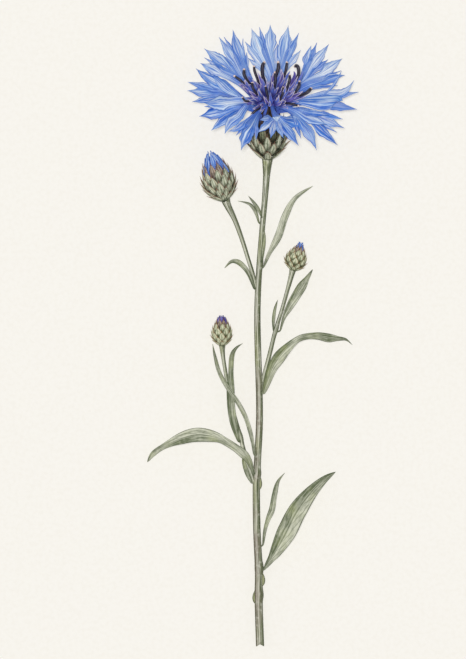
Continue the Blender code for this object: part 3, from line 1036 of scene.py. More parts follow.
def crown_recipe() -> Recipe:
    """Make the tree that sets copies of a template round the Z axis, each with its own seed.

    Returns:
        The tree.
    """
    recipe = Recipe("crown")
    template = recipe.ask("Template", "Object")
    count = recipe.ask("Count", "Int")
    phase, jitter, uneven, lean = (
        recipe.ask(name, "Float") for name in ("Phase", "Turn Jitter", "Size Jitter", "Lean Jitter")
    )
    seed = recipe.ask("Seed", "Int")
    material = recipe.ask("Material", "Material")

    def chance(number: int, low: float, high: float) -> Wire:
        """Add a seeded random number of each copy.

        Args:
            number: which draw it is, so that no two are alike.
            low: its least value.
            high: its greatest value.

        Returns:
            The number.
        """
        node = recipe.add("FunctionNodeRandomValue", {"Seed": seed + number}, data_type="FLOAT")
        for socket in node.inputs:
            if socket.type == "VALUE" and socket.name in ("Min", "Max"):
                socket.default_value = low if socket.name == "Min" else high
        return Wire(recipe, next(out for out in node.outputs if out.type == "VALUE"))

    line = recipe.wire("GeometryNodeMeshLine", {"Count": count, "Offset": (0.0, 0.0, 0.0)}, mode="OFFSET")
    index = recipe.wire("GeometryNodeInputIndex")
    turn = (index + phase + chance(1, -1.0, 1.0) * jitter) / count * (2.0 * math.pi)
    size = 1.0 + chance(2, -1.0, 1.0) * uneven
    tip = chance(3, -1.0, 1.0) * lean
    picked = recipe.shape_of(template)
    copies = recipe.wire("GeometryNodeInstanceOnPoints", {
        "Points": line, "Instance": picked,
        "Rotation": recipe.vector(tip, 0.0, turn), "Scale": recipe.vector(size, size, 1.0),
    })
    seeded = {"Geometry": copies, "Name": "seed", "Value": chance(4, 0.0, 1.0)}
    stored = recipe.wire("GeometryNodeStoreNamedAttribute", seeded, data_type="FLOAT", domain="INSTANCE")
    recipe.close(stored, material)
    return recipe


def down_recipe() -> Recipe:
    """Make the tree that sets a hair on seeded places of a surface.

    Returns:
        The tree.
    """
    recipe = Recipe("down")
    surface = recipe.ask("Surface", "Geometry")
    hair = recipe.ask("Hair", "Object")
    material = recipe.ask("Material", "Material")
    density = recipe.ask("Density", "Float")
    seed = recipe.ask("Seed", "Int")
    lowest = recipe.ask("Lowest Normal", "Float")
    upright = recipe.wire("ShaderNodeSeparateXYZ", {0: recipe.wire("GeometryNodeInputNormal")}, 2)
    facing = recipe.wire("FunctionNodeCompare", {0: upright, 1: lowest}, data_type="FLOAT")
    spots = recipe.add("GeometryNodeDistributePointsOnFaces", {
        "Mesh": surface, "Selection": facing, "Density": density, "Seed": seed,
    })
    picked = recipe.shape_of(hair)
    hairs = recipe.wire("GeometryNodeInstanceOnPoints", {
        "Points": Wire(recipe, spots.outputs["Points"]), "Instance": picked,
        "Rotation": Wire(recipe, spots.outputs["Rotation"]),
    })
    recipe.close(hairs, material)
    return recipe


# --- Pieces -----------------------------------------------------------------------------
class Kit:
    """Materials, node trees, and the last steps that each finished piece goes through."""

    def __init__(self) -> None:
        """Make the materials, the trees and the template of a hair."""
        self.paints = {name: finish.make() for name, finish in FINISHES.items()}
        self.crown = crown_recipe()
        self.down = down_recipe()
        self.hair = self._hair()

    def _hair(self) -> bpy.types.Object:
        """Make the template of one hair of the down.

        Returns:
            An object that is used for its mesh only.
        """
        shell = Shell()
        route = np.array(((0.0, 0.0, -0.02), (0.02, 0.0, 0.12), (0.08, 0.0, 0.24)))
        shell.add_rod(rings_of(route, np.array((0.022, 0.016, 0.004)), 3), np.zeros((3, 4, 2)))
        obj = shell.build("hair_template", self.paints["hair"])
        obj.hide_render = True
        return obj

    def settle(self, obj: bpy.types.Object, slot: str, *nodes: str) -> None:
        """Make the object ride on the root in place of its CAD nodes, and log its box.

        Args:
            obj: the finished piece.
            slot: the name of a material slot; not used.
            nodes: the CAD nodes that it stands for.
        """
        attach(obj, "root")
        if nodes:
            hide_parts(*nodes)
        corners = np.array([corner[:] for corner in obj.bound_box])
        low, high = corners.min(axis=0), corners.max(axis=0)
        boxes = [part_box(node) for node in nodes] or [(low, high)]
        cad_low = np.min([np.array(box[0]) for box in boxes], axis=0)
        cad_high = np.max([np.array(box[1]) for box in boxes], axis=0)
        past = max(float((cad_low - low).max()), float((high - cad_high).max())) / MM
        LOG.info("%s: %d faces, %.1f mm past its CAD box", obj.name, len(obj.data.polygons), past)

    def drop(self, obj: bpy.types.Object) -> None:
        """Remove a template."""
        bpy.data.objects.remove(obj, do_unlink=True)


@dataclass
class Stem:
    """One stem: a ribbed rod with thicker nodes, down and a cut or covered end."""

    node: str
    route: Keys
    radii: tuple[float, ...]
    blush: float = 0.0
    knots: tuple[float, ...] = ()
    auricles: Keys = ()
    rows: int = 300
    ribs: int = 8
    ROUND = 32
    BARK_STEPS = 400
    BARK_DROP = 1.3
    KNOT_REACH = 1.4
    STAIN_TOP = 24.0
    STAIN_FADE = 50.0
    DOWN_DENSITY = 2.2e6
    EAR_HALF, EAR_TUCK, EAR_DROP = 2.1, 0.32, 0.2
    EAR_ROWS, EAR_ROUND = 17, 14

    def bark(self, place: np.ndarray) -> np.ndarray:
        """Find where something that grows from the stem starts.

        Args:
            place: where it leaves the stem.

        Returns:
            A place just inside the stem, a little below the one given.
        """
        shares = np.linspace(0.0, 1.0, self.BARK_STEPS)
        axis = along(np.array(self.route), shares)
        near = int(np.argmin(np.linalg.norm(axis - place, axis=1)))
        low = int(np.searchsorted(axis[:, 1], axis[near, 1] - self.BARK_DROP))
        radius = float(np.interp(shares[low], np.linspace(0.0, 1.0, len(self.radii)), self.radii))
        return axis[low] + unit(place - axis[low]) * 0.6 * radius

    def build(self, kit: Kit) -> None:
        """Make the stem and settle it.

        Args:
            kit: the materials and the trees.
        """
        shares = np.linspace(0.0, 1.0, self.rows)
        route, radii = np.array(self.route), np.array(self.radii)
        if self is not STEMS[0]:
            route, radii = np.vstack((STEMS[0].bark(route[0]), route)), np.append(radii[0] * 1.1, radii)
        centre = along(route, shares)
        radius = np.interp(shares, np.linspace(0.0, 1.0, len(radii)), radii)
        turn = turns(self.ROUND)
        for knot in self.knots:
            near = np.exp(-(((centre[:, 1] - knot) / self.KNOT_REACH) ** 2))
            radius = radius * (1.0 + 0.16 * near)
            centre[:, 0] += 0.12 * near
        ribbed = 1.0 + 0.055 * np.cos(self.ribs * turn + 0.8)
        rings = rings_of(centre, radius[:, None] * ribbed[None], self.ROUND)
        # The main stem, which has the blush, also has a torn lower end
        torn = 0.35 - 0.75 * np.cos(turn) ** 2 + 0.3 * np.sin(5.0 * turn)
        rings[..., 1] += np.outer(np.exp(-np.arange(self.rows) / 1.2), torn) * self.blush
        around = np.linspace(0.0, 1.0, self.ROUND + 1)
        lay = np.stack(np.meshgrid(around, shares * run_length(centre) * 0.1), axis=-1)
        low = np.clip((self.STAIN_TOP - centre[:, 1]) / self.STAIN_FADE, 0.0, 1.0) * self.blush
        shell = Shell()
        shell.add_rod(rings, lay, side=np.cos(turn), low=low[:, None], ear=0.0)
        for height, way, reach in self.auricles:
            self.add_auricle(shell, centre, radius, height, way, reach)
        bare = shell.build(f"{self.node}_bare", kit.paints["stem"])
        down = kit.down.grow(
            f"{self.node}_down", bare, Hair=kit.hair, Density=self.DOWN_DENSITY, Seed=len(self.node),
            Lowest_Normal=-0.6, Material=kit.paints["hair"],
        )
        kit.settle(joined(f"{self.node}_skin", [bare, down]), "stem", self.node)

    def add_auricle(
        self, shell: Shell, centre: np.ndarray, radius: np.ndarray, height: float, way: float, reach: float
    ) -> None:
        """Add one small ear of a leaf base that clasps the stem.

        Args:
            shell: what it is added to.
            centre: the stem's axis.
            radius: the stem's radius at each place of the axis.
            height: where the ear's middle is, along Y.
            way: 1 for the right side of the stem, -1 for the left.
            reach: how far it stands out.
        """
        run = np.linspace(0.0, 1.0, self.EAR_ROWS)
        y = height + self.EAR_HALF * (run - 0.5) * 2.0
        x, z, bark = (np.interp(y, centre[:, 1], values) for values in (centre[:, 0], centre[:, 2], radius))
        girth = reach * (0.08 + 0.92 * np.sin(math.pi * run**0.8) ** 0.8)
        axis = np.stack((x + way * (bark - self.EAR_TUCK), y, z - self.EAR_DROP), axis=1)
        turn = turns(self.EAR_ROUND)
        flat = 1.0 - 0.45 * np.sin(turn) ** 2
        rings = rings_of(axis, girth[:, None] * flat[None], self.EAR_ROUND)
        lay = grid_lay(self.EAR_ROWS, self.EAR_ROUND + 1)
        shell.add_rod(rings, lay, side=np.cos(turn) * 0.5 * way, low=0.0, ear=1.0)


@dataclass
class Leaf:
    """One leaf: a keeled blade along its midrib, with its two halves painted lighter or darker, as painted
    light and shade.
    """

    node: str
    route: Keys
    widths: Keys
    painted_lights: Keys
    keel: float = 0.28
    wave: float = 0.12
    rows: int = 96
    columns: int = 21
    LEAST_WIDTH = 0.04
    SHEET, MIDRIB = 0.16, 0.2
    LEAD_ROWS = 6

    def lead(self, centre: np.ndarray) -> np.ndarray:
        """Lead the midrib out of the nearest stem.

        Args:
            centre: places of the midrib.

        Returns:
            Places from the stem's bark to just before the midrib.
        """
        first = centre[0]
        nearest = min((stem.bark(first) for stem in STEMS), key=lambda place: np.linalg.norm(place - first))
        bend = first - unit(centre[1] - first) * 0.5 * np.linalg.norm(nearest - first)
        run = np.linspace(0.0, 1.0, self.LEAD_ROWS + 1)[:-1, None]
        return nearest * (1.0 - run) ** 2 + bend * 2.0 * run * (1.0 - run) + first * run**2

    def build(self, kit: Kit) -> None:
        """Make the leaf and settle it.

        Args:
            kit: the materials and the trees.
        """
        shares = np.linspace(0.0, 1.0, self.rows)
        centre = along(np.array(self.route), shares)
        half = 0.5 * np.maximum(shaped(shares, self.widths), self.LEAST_WIDTH)
        lead = self.lead(centre)
        centre = np.concatenate((lead, centre))
        half = np.concatenate((np.linspace(0.75, 1.0, len(lead), endpoint=False) * half[0], half))
        shares = np.linspace(0.0, 1.0, len(centre))
        grid = ribbon(centre, half, self.columns, self.keel)
        across = np.linspace(-1.0, 1.0, self.columns)
        length = run_length(centre)
        ruffle = np.sin(shares * length * 0.9 + len(self.node))[:, None] * across[None] ** 2
        grid[..., 2] += self.wave * ruffle * half[:, None]
        grid[..., 2] -= 0.05 * np.exp(-((across / 0.1) ** 2))[None] * half[:, None] ** 0.5
        # Paleness of each half along the leaf, (share, left, right): painted light and shade of the folded
        # blade.
        places, left, right = np.array(self.painted_lights).T
        left, right = np.interp(shares, places, left), np.interp(shares, places, right)
        tone = left[:, None] + (right - left)[:, None] * smooth(-0.1, 0.1, across)
        midrib = np.exp(-((across / 0.14) ** 2))[None] * (1.0 - shares[:, None])
        shell = Shell()
        lay = grid_lay(len(grid), self.columns)
        shell.add_sheet(grid, self.SHEET + self.MIDRIB * midrib, lay, tone=tone, length=length)
        kit.settle(shell.build(f"{self.node}_blade", kit.paints["leaf"]), "leaf", self.node)


@dataclass(frozen=True)
class Lobe:
    """One lobe of a ray floret: where its tip is, how wide it is and how it bends."""

    bearing: float
    reach: float
    width: float
    bend: float = 0.0
    lift: float = 0.0
    pale: float = 0.0


class End(Enum):
    """Outline of a free strap, as (share, width) keys."""

    POINTED = ((0.0, 0.25), (0.3, 0.7), (0.6, 1.0), (0.82, 0.6), (0.94, 0.18), (1.0, 0.03))
    BLUNT = ((0.0, 0.2), (0.35, 0.7), (0.7, 1.0), (0.9, 0.85), (0.97, 0.55), (1.0, 0.1))
    LIP = ((0.0, 0.8), (0.1, 1.0), (0.5, 0.6), (0.8, 0.25), (1.0, 0.02))


@dataclass(frozen=True)
class Flap:
    """One free strap of a ray floret, along (bearing, reach) places."""

    route: Keys
    width: float
    lift: float = 0.5
    pale: float = 0.3
    end: End = End.POINTED
    slant: float = 0.0


# (radius, height, half width) of the tube's rings in the head, from its foot up
OUTER_TUBE = ((3.1, 11.5, 0.35), (3.3, 14.5, 0.4), (4.1, 16.3, 0.55))
INNER_TUBE = ((3.1, 11.5, 0.35), (2.6, 15.5, 0.4), (1.7, 18.6, 0.5))


@dataclass
class RayFloret:
    """One ray floret: a flat tube that opens into pointed, pleated lobes."""

    number: int
    throat: tuple[float, float]
    layer: float
    lobes: tuple[Lobe, ...]
    wash: float = 0.0
    split: float = 0.42
    flaps: tuple[Flap, ...] = ()
    # How far up the limb the painted shade inside the head reaches.
    dusk: float = 0.0
    tube: Keys = OUTER_TUBE
    mouth: float = 0.95
    fan: float = 0.14
    flare: float = 0.5
    knee: float | None = None
    COLUMNS = 11
    LIMB_ROWS = 26
    LOBE_ROWS = 34
    TIP_ROWS = 8
    FLORETS = 16.0

    def notches(self, throat: np.ndarray, tips: np.ndarray) -> np.ndarray:
        """Place the notches beside the lobes.

        Args:
            throat: the throat in plan.
            tips: the lobes' tips in plan.

        Returns:
            One more place in plan than there are lobes.
        """
        arms = tips - throat
        bearings = np.unwrap(np.arctan2(arms[:, 0], arms[:, 1]))
        reach = np.linalg.norm(arms, axis=1)
        if len(tips) == 1:
            cuts, sizes = bearings[0] + np.array((-0.28, 0.28)), np.repeat(reach, 2)
        else:
            gaps = np.clip(np.diff(bearings), 0.12, None)
            middle = bearings[:-1] + 0.5 * gaps
            outer = np.clip(0.5 * gaps[[0, -1]], self.fan, self.flare)
            cuts = np.concatenate(((bearings[0] - outer[0],), middle, (bearings[-1] + outer[1],)))
            sizes = np.concatenate((reach[:1], np.minimum(reach[:-1], reach[1:]), reach[-1:]))
        return throat + np.stack((np.sin(cuts), np.cos(cuts)), axis=1) * (sizes * self.split)[:, None]

    def limb(
        self, share: np.ndarray, throat: np.ndarray, forward: np.ndarray, notch_row: np.ndarray,
        beyond: np.ndarray
    ) -> np.ndarray:
        """Lay out the rows from the tube's foot to the notches.

        Args:
            share: place of each column round the floret, from 0 to 1.
            throat: the throat in plan.
            forward: the direction in plan that the floret faces.
            notch_row: places of the columns at the notches.
            beyond: places just past the notches.

        Returns:
            Places as (rows, columns, 3).
        """
        azimuth = 360.0 * (self.number - 1) / self.FLORETS if self.knee is None else self.knee
        outward, around = ring_direction(azimuth), ring_direction(azimuth + 90.0)
        turn = (share - 0.5) * 1.8 * math.pi
        ring = np.outer(np.sin(turn), around) + np.outer(np.cos(turn) - 1.0, outward)
        rows = [head_point(azimuth, radius, height) + tube * ring for radius, height, tube in self.tube]
        cup = (share - 0.5) * 1.15 * math.pi
        across = np.array((forward[1], -forward[0]))
        sunk = 1.0 - np.cos(cup)
        flat = throat + np.outer(np.sin(cup), across) * self.mouth - np.outer(sunk, forward) * 0.25
        mouth = lifted(np.broadcast_to(throat, flat.shape), self.layer)
        mouth[:, :2] = flat
        mouth[:, 2] += 0.7 * sunk
        rows += [mouth, notch_row, beyond]
        return along(np.array(rows), np.linspace(0.0, 0.8, self.LIMB_ROWS))

    def build(self, kit: Kit) -> None:
        """Make the floret and settle it.

        Args:
            kit: the materials and the trees.
        """
        throat = flat_place(*self.throat)
        tips = np.array([flat_place(lobe.bearing, lobe.reach) for lobe in self.lobes])
        notches = self.notches(throat, tips)
        forward = unit((tips[0] + tips[-1]) * 0.5 - throat)
        shell = Shell()
        for index, lobe in enumerate(self.lobes):
            self.add_lobe(shell, index, lobe, throat, forward, tips[index], notches[index : index + 2])
        for index, flap in enumerate(self.flaps):
            self.add_flap(shell, index, flap)
        name = f"ray_floret_{self.number:02d}"
        kit.settle(shell.build(f"{name}_petals", kit.paints["petal"]), "petal", name)

    def add_lobe(
        self, shell: Shell, index: int, lobe: Lobe, throat: np.ndarray, forward: np.ndarray, tip: np.ndarray,
        pair: np.ndarray
    ) -> None:
        """Add one lobe with its share of the tube and the limb.

        Args:
            shell: what it is added to.
            index: its number in the floret.
            lobe: its shape.
            throat: the throat in plan.
            forward: the direction in plan that the floret faces.
            tip: its tip in plan.
            pair: the notches beside it, in plan.
        """
        across = np.linspace(-1.0, 1.0, self.COLUMNS)
        half_gap = 0.5 * (pair[1] - pair[0])
        gap = float(np.linalg.norm(half_gap))
        start = 0.5 * (pair[0] + pair[1])
        start = start + unit(tip - start) * 0.2 * gap
        heading = unit(tip - start)
        square = np.array((heading[1], -heading[0]))
        run = np.linspace(0.0, 1.0, self.LOBE_ROWS)
        centre = start + np.outer(run, tip - start) + np.outer(np.sin(math.pi * run), square) * lobe.bend
        belly = 0.5 * lobe.width
        full = 0.2 + 0.16 * ((self.number * 0.37 + index * 0.61) % 1.0)
        width = shaped(run, ((0.0, gap), (full, belly), (full + 0.25, belly * 0.82), (0.73, belly * 0.4),
                             (0.86, belly * 0.17), (0.95, 0.07), (1.0, 0.02)))
        eased = smooth(0.0, 0.4, run)[:, None]
        ahead = unit(np.gradient(centre, axis=0))
        perp = np.stack((ahead[:, 1], -ahead[:, 0]), axis=1)
        arm = unit((1.0 - eased) * half_gap / max(gap, 1e-6) + eased * perp) * width[:, None]
        ragged = 1.0 + 0.08 * np.sin(np.outer(run, 15.0 + 3.0 * np.sign(across)) + index * 2.1 + across * 1.5)
        ragged = ragged + 0.035 * np.sin(np.outer(run, 33.0 - 4.0 * np.sign(across)) + index + self.number)
        out = across * np.where(run[:, None] > 0.1, ragged, 1.0)
        flat = centre[:, None] + arm[:, None] * out[..., None]
        bow = (1.0 - across**2) * 0.2 * gap
        flat -= heading * (1.0 - eased[..., None]) * (0.2 * gap - bow)[None, :, None]
        blade = lifted(flat, self.layer)
        crease = np.exp(-((across / 0.16) ** 2))
        relief = 0.34 * np.outer(width, 1.0 - across**2) - 0.1 * np.outer(width, crease)
        relief += 0.04 * np.outer(width, np.cos(across * 9.0 + index))
        curl = lobe.lift * smooth(0.0, 0.3, run) - 0.35 * smooth(0.75, 1.0, run)
        curl += 0.06 * np.sin(run * 9.0 + index)
        blade[..., 2] += relief + curl[:, None]
        share = (index + 0.5 * (across + 1.0)) / len(self.lobes)
        limb = self.limb(share, throat, forward, blade[0], blade[2])
        grid = np.concatenate((limb[:-1], blade))
        lay = grid_lay(len(grid), self.COLUMNS)
        lay[: len(limb) - 1, :, 1] = np.linspace(0.0, 0.4, len(limb) - 1)[:, None]
        lay[len(limb) - 1 :, :, 1] = np.linspace(0.4, 1.0, len(blade))[:, None]
        thickness = np.full(len(grid), PETAL_THICKNESS)
        thickness[-self.TIP_ROWS :] = np.linspace(0.15, 0.05, self.TIP_ROWS)
        seed = (self.number * 0.379 + index * 0.217) % 1.0
        # Lobes that dip under their neighbours (negative lift) get painted shade.
        deep = min(max(-lobe.lift, 0.0), 0.7) * 0.7
        shell.add_sheet(
            grid, thickness[:, None], lay, seed=seed, wash=self.wash + lobe.pale, dusk=self.dusk, deep=deep
        )

    def add_flap(self, shell: Shell, index: int, flap: Flap) -> None:
        """Add one free strap.

        Args:
            shell: what it is added to.
            index: its number in the floret.
            flap: its shape.
        """
        across = np.linspace(-1.0, 1.0, self.COLUMNS)
        run = np.linspace(0.0, 1.0, self.LOBE_ROWS)
        centre = along(np.array([flat_place(*place) for place in flap.route]), run)
        width = 0.5 * flap.width * shaped(run, flap.end.value)
        ahead = unit(np.gradient(centre, axis=0))
        perp = np.stack((ahead[:, 1], -ahead[:, 0]), axis=1)
        flat = centre[:, None] + perp[:, None] * np.outer(width, across)[..., None]
        flat += ahead[:, None] * np.outer(flap.slant * run**2, across)[..., None]
        blade = lifted(flat, self.layer)
        blade[..., 2] += flap.lift + 0.25 * np.outer(width, 1.0 - across**2)
        lay = grid_lay(self.LOBE_ROWS, self.COLUMNS)
        lay[..., 1] = 0.35 + 0.65 * lay[..., 1]
        seed = (self.number * 0.531 + index * 0.319) % 1.0
        wash = self.wash + flap.pale
        shell.add_sheet(blade, PETAL_THICKNESS, lay, seed=seed, wash=wash, dusk=0.0, deep=0.0)


@dataclass
class DiscFloret:
    """One disc floret: a thin tube, six narrow lobes and a dark, curved anther column."""

    number: int
    ring: int
    azimuth: float
    column: Keys
    girth: float = 0.46
    shown: bool = True
    ROWS = 46
    ROUND = 20
    LOBES = 6
    LOBE_ROWS, LOBE_COLUMNS = 16, 7
    USUAL_GIRTH = 0.46
    RING_RADII = (0.0, 1.1, 2.1)

    def place(self, bearing: float, reach: float, arch: float) -> np.ndarray:
        """Find a place of the column over the middle of the head.

        Args:
            bearing: its bearing about the head's centre, in degrees.
            reach: its distance from there in plan.
            arch: how far it is raised.

        Returns:
            The place.
        """
        rise = 0.25 + 0.2 * (1.0 - math.cos(math.radians(bearing)))
        height = HEAD_CENTRE[2] + 0.6 + 0.9 * (2 - self.ring) + rise * reach + arch
        return np.array((*flat_place(bearing, reach), height))

    def build(self, kit: Kit) -> None:
        """Make the floret and settle it.

        Args:
            kit: the materials and the trees.
        """
        radius = self.RING_RADII[self.ring]
        last = len(self.column) - 1
        stops = [self.place(*spot, 1.1 * math.sin(math.pi * k / last)) for k, spot in enumerate(self.column)]
        knee = head_point(self.azimuth, radius * 0.8, 18.2)
        keys = [head_point(self.azimuth, radius, 11.5), head_point(self.azimuth, radius, 15.0), knee]
        keys += [knee + (stops[0] - knee) * 0.6, *stops]
        begin = 4.0 / (len(keys) - 1)
        shares = np.linspace(0.0, 1.0, self.ROWS)
        centre = along(np.array(keys), shares)
        share = np.interp(shares, (0.0, begin, 1.0), (0.0, 0.5, 1.0))
        size = self.girth / self.USUAL_GIRTH
        width = shaped(share, (
            (0.0, 0.25), (0.25, 0.28), (0.36, 0.42), (0.44, 0.34 * size), (0.6, 0.42 * size),
            (0.85, 0.48 * size), (0.93, 0.38 * size), (0.96, 0.34), (0.985, 0.34), (1.0, 0.12),
        ))
        ribbed = 1.0 + 0.07 * np.cos(5.0 * turns(self.ROUND))
        rings = rings_of(centre, width[:, None] * ribbed[None], self.ROUND)
        around = np.linspace(0.0, 1.0, self.ROUND + 1)
        seed = self.number * 0.618 % 1.0
        shell = Shell()
        shell.add_rod(rings, np.stack(np.meshgrid(around, share), axis=-1), seed=seed)
        side, lift = ring_frame(centre)
        for lobe in range(self.LOBES):
            angle = math.radians(360.0 / self.LOBES * lobe + 360.0 * seed)
            luck = (lobe * 0.37 + seed * 1.7) % 1.0
            ends = np.searchsorted(share, np.linspace(0.33, 0.53 + 0.2 * luck, 5))
            out = (side * math.cos(angle) + lift * math.sin(angle))[ends]
            wide = np.array((0.3, 0.5, 0.7, 0.95, 1.35)) * (0.75 + 0.6 * ((lobe * 0.71 + seed) % 1.0))
            route = centre[ends] + out * wide[:, None]
            self.add_lobe(shell, route, 0.42 + 0.2 * luck, (seed + lobe * 0.23) % 1.0)
        name = f"disc_floret_{self.number:02d}"
        obj = shell.build(f"{name}_parts", kit.paints["anther"], kit.paints["corolla"])
        kit.settle(obj, "anther", *([name] if self.shown else []))

    def add_lobe(self, shell: Shell, route: np.ndarray, half: float, seed: float) -> None:
        """Add one lobe as a small pointed strap.

        Args:
            shell: what it is added to.
            route: places along its midrib.
            half: its greatest half width.
            seed: its own number from 0 to 1, for its colours.
        """
        shares = np.linspace(0.0, 1.0, self.LOBE_ROWS)
        width = half * shaped(shares, ((0.0, 0.4), (0.35, 1.0), (0.75, 0.6), (1.0, 0.04)))
        grid = ribbon(along(route, shares), width, self.LOBE_COLUMNS, 0.25)
        shell.add_sheet(grid, PETAL_THICKNESS, grid_lay(self.LOBE_ROWS, self.LOBE_COLUMNS), 1, seed=seed)


def frame_of(foot: np.ndarray, axis: np.ndarray) -> Matrix:
    """Place a turned piece, with its Z on an axis and its -Y side up.

    Args:
        foot: where its origin goes.
        axis: where its Z points.

    Returns:
        The placing, in metres.
    """
    axis = unit(axis)
    side = unit(np.cross(axis, UP))
    back = np.cross(axis, side)
    matrix = Matrix(np.stack((side, back, axis), axis=1).tolist()).to_4x4()
    matrix.translation = Vector(foot) * MM
    return matrix


def joined(name: str, objects: list[bpy.types.Object]) -> bpy.types.Object:
    """Join objects into the first one.

    Args:
        name: the name of the whole.
        objects: what is joined.

    Returns:
        The whole.
    """
    with bpy.context.temp_override(active_object=objects[0], selected_editable_objects=objects):
        bpy.ops.object.join()
    objects[0].name = name
    objects[0].data.name = name
    return objects[0]


class Margin(Enum):
    """What stands on the upper margin of a repeated blade."""

    FRINGED = "fringed"
    PLAIN = "plain"


@dataclass(frozen=True)
class Row:
    """One row of bracts or closed lobes round an axis, in that axis's own frame."""

    foot: float
    tip: float
    width: float
    count: int
    phase: float
    spread: float = 0.3
    inset: float = 0.9
    margin: Margin = Margin.FRINGED
    foot_share: float = 0.0
    finish: str = "bract"
    ROWS, COLUMNS = 20, 11
    FRINGE_START = 11
    END_TOOTH = 2.3
    TOOTH_LAY = (0.5, 1.15)
    THICKNESS = 0.2

    def template(self, outline: Keys, material: bpy.types.Material) -> bpy.types.Object:
        """Make one blade of the row, on the side that looks up.

        Args:
            outline: (height, radius) of the body that it lies on.
            material: its finish.

        Returns:
            An object that is used for its mesh only.
        """
        run, across = np.linspace(0.0, 1.0, self.ROWS), np.linspace(-1.0, 1.0, self.COLUMNS)
        height = self.foot + (self.tip - self.foot) * run
        keys = ((0.0, 0.65), (0.3, 1.0), (0.55, 0.88), (0.75, 0.55), (0.9, 0.2), (1.0, 0.03))
        half = 0.5 * self.width * shaped(run, keys)
        radius = np.interp(height, *np.array(outline).T)
        radius = radius - self.inset * (1.0 - run) ** 1.5 + self.spread * run**4
        turn = np.outer(half / np.maximum(radius, 0.4), across)
        bulge = radius[:, None] + 0.36 * np.outer(half, 1.0 - np.abs(across) ** 1.5)
        level = np.broadcast_to(height[:, None], turn.shape)
        grid = np.stack((bulge * np.sin(turn), -bulge * np.cos(turn), level), axis=-1)
        lay = grid_lay(self.ROWS, self.COLUMNS)
        lay[..., 1] = self.foot_share + (1.0 - self.foot_share) * lay[..., 1]
        shell = Shell()
        shell.add_sheet(grid, self.THICKNESS, lay)
        if self.margin is Margin.FRINGED:
            middle = self.COLUMNS // 2
            for row in range(self.FRINGE_START, self.ROWS, 2):
                for column in (0, self.COLUMNS - 1):
                    self.add_tooth(shell, grid[row, column], grid[row - 1, middle], grid[row, middle])
            self.add_tooth(shell, grid[-1, middle], grid[-4, middle], grid[-1, middle], self.END_TOOTH)
        return shell.build("blade_template", material)

    def add_tooth(
        self, shell: Shell, root: np.ndarray, back: np.ndarray, level: np.ndarray, size: float = 1.0
    ) -> None:
        """Add one tooth of the fringe, pointing away from the blade's middle.

        Args:
            shell: what it is added to.
            root: where it stands.
            back: a place further down the middle.
            level: the place on the middle beside it.
            size: its length against the usual one.
        """
        away = unit(root - back + 0.7 * (root - level)) * 0.42 * size * (0.5 + 0.22 * self.width)
        route = np.array((root - 0.3 * away, root + 0.4 * away, root + away))
        rings = rings_of(route, np.array((0.09, 0.06, 0.012)), 3)
        shell.add_rod(rings, np.full((3, 4, 2), self.TOOTH_LAY))

    def grow(
        self, kit: Kit, name: str, outline: Keys, material: bpy.types.Material, seed: int
    ) -> bpy.types.Object:
        """Make the whole row as one mesh.

        Args:
            kit: the materials and the trees.
            name: the object's name.
            outline: (height, radius) of the body that it lies on.
            material: its finish.
            seed: the number that its small differences come from.

        Returns:
            The row, in the axis's own frame.
        """
        template = self.template(outline, material)
        obj = kit.crown.grow(
            name, Template=template, Count=self.count, Phase=self.phase, Turn_Jitter=0.1, Size_Jitter=0.03,
            Lean_Jitter=0.012, Seed=seed, Material=material,
        )
        kit.drop(template)
        return obj


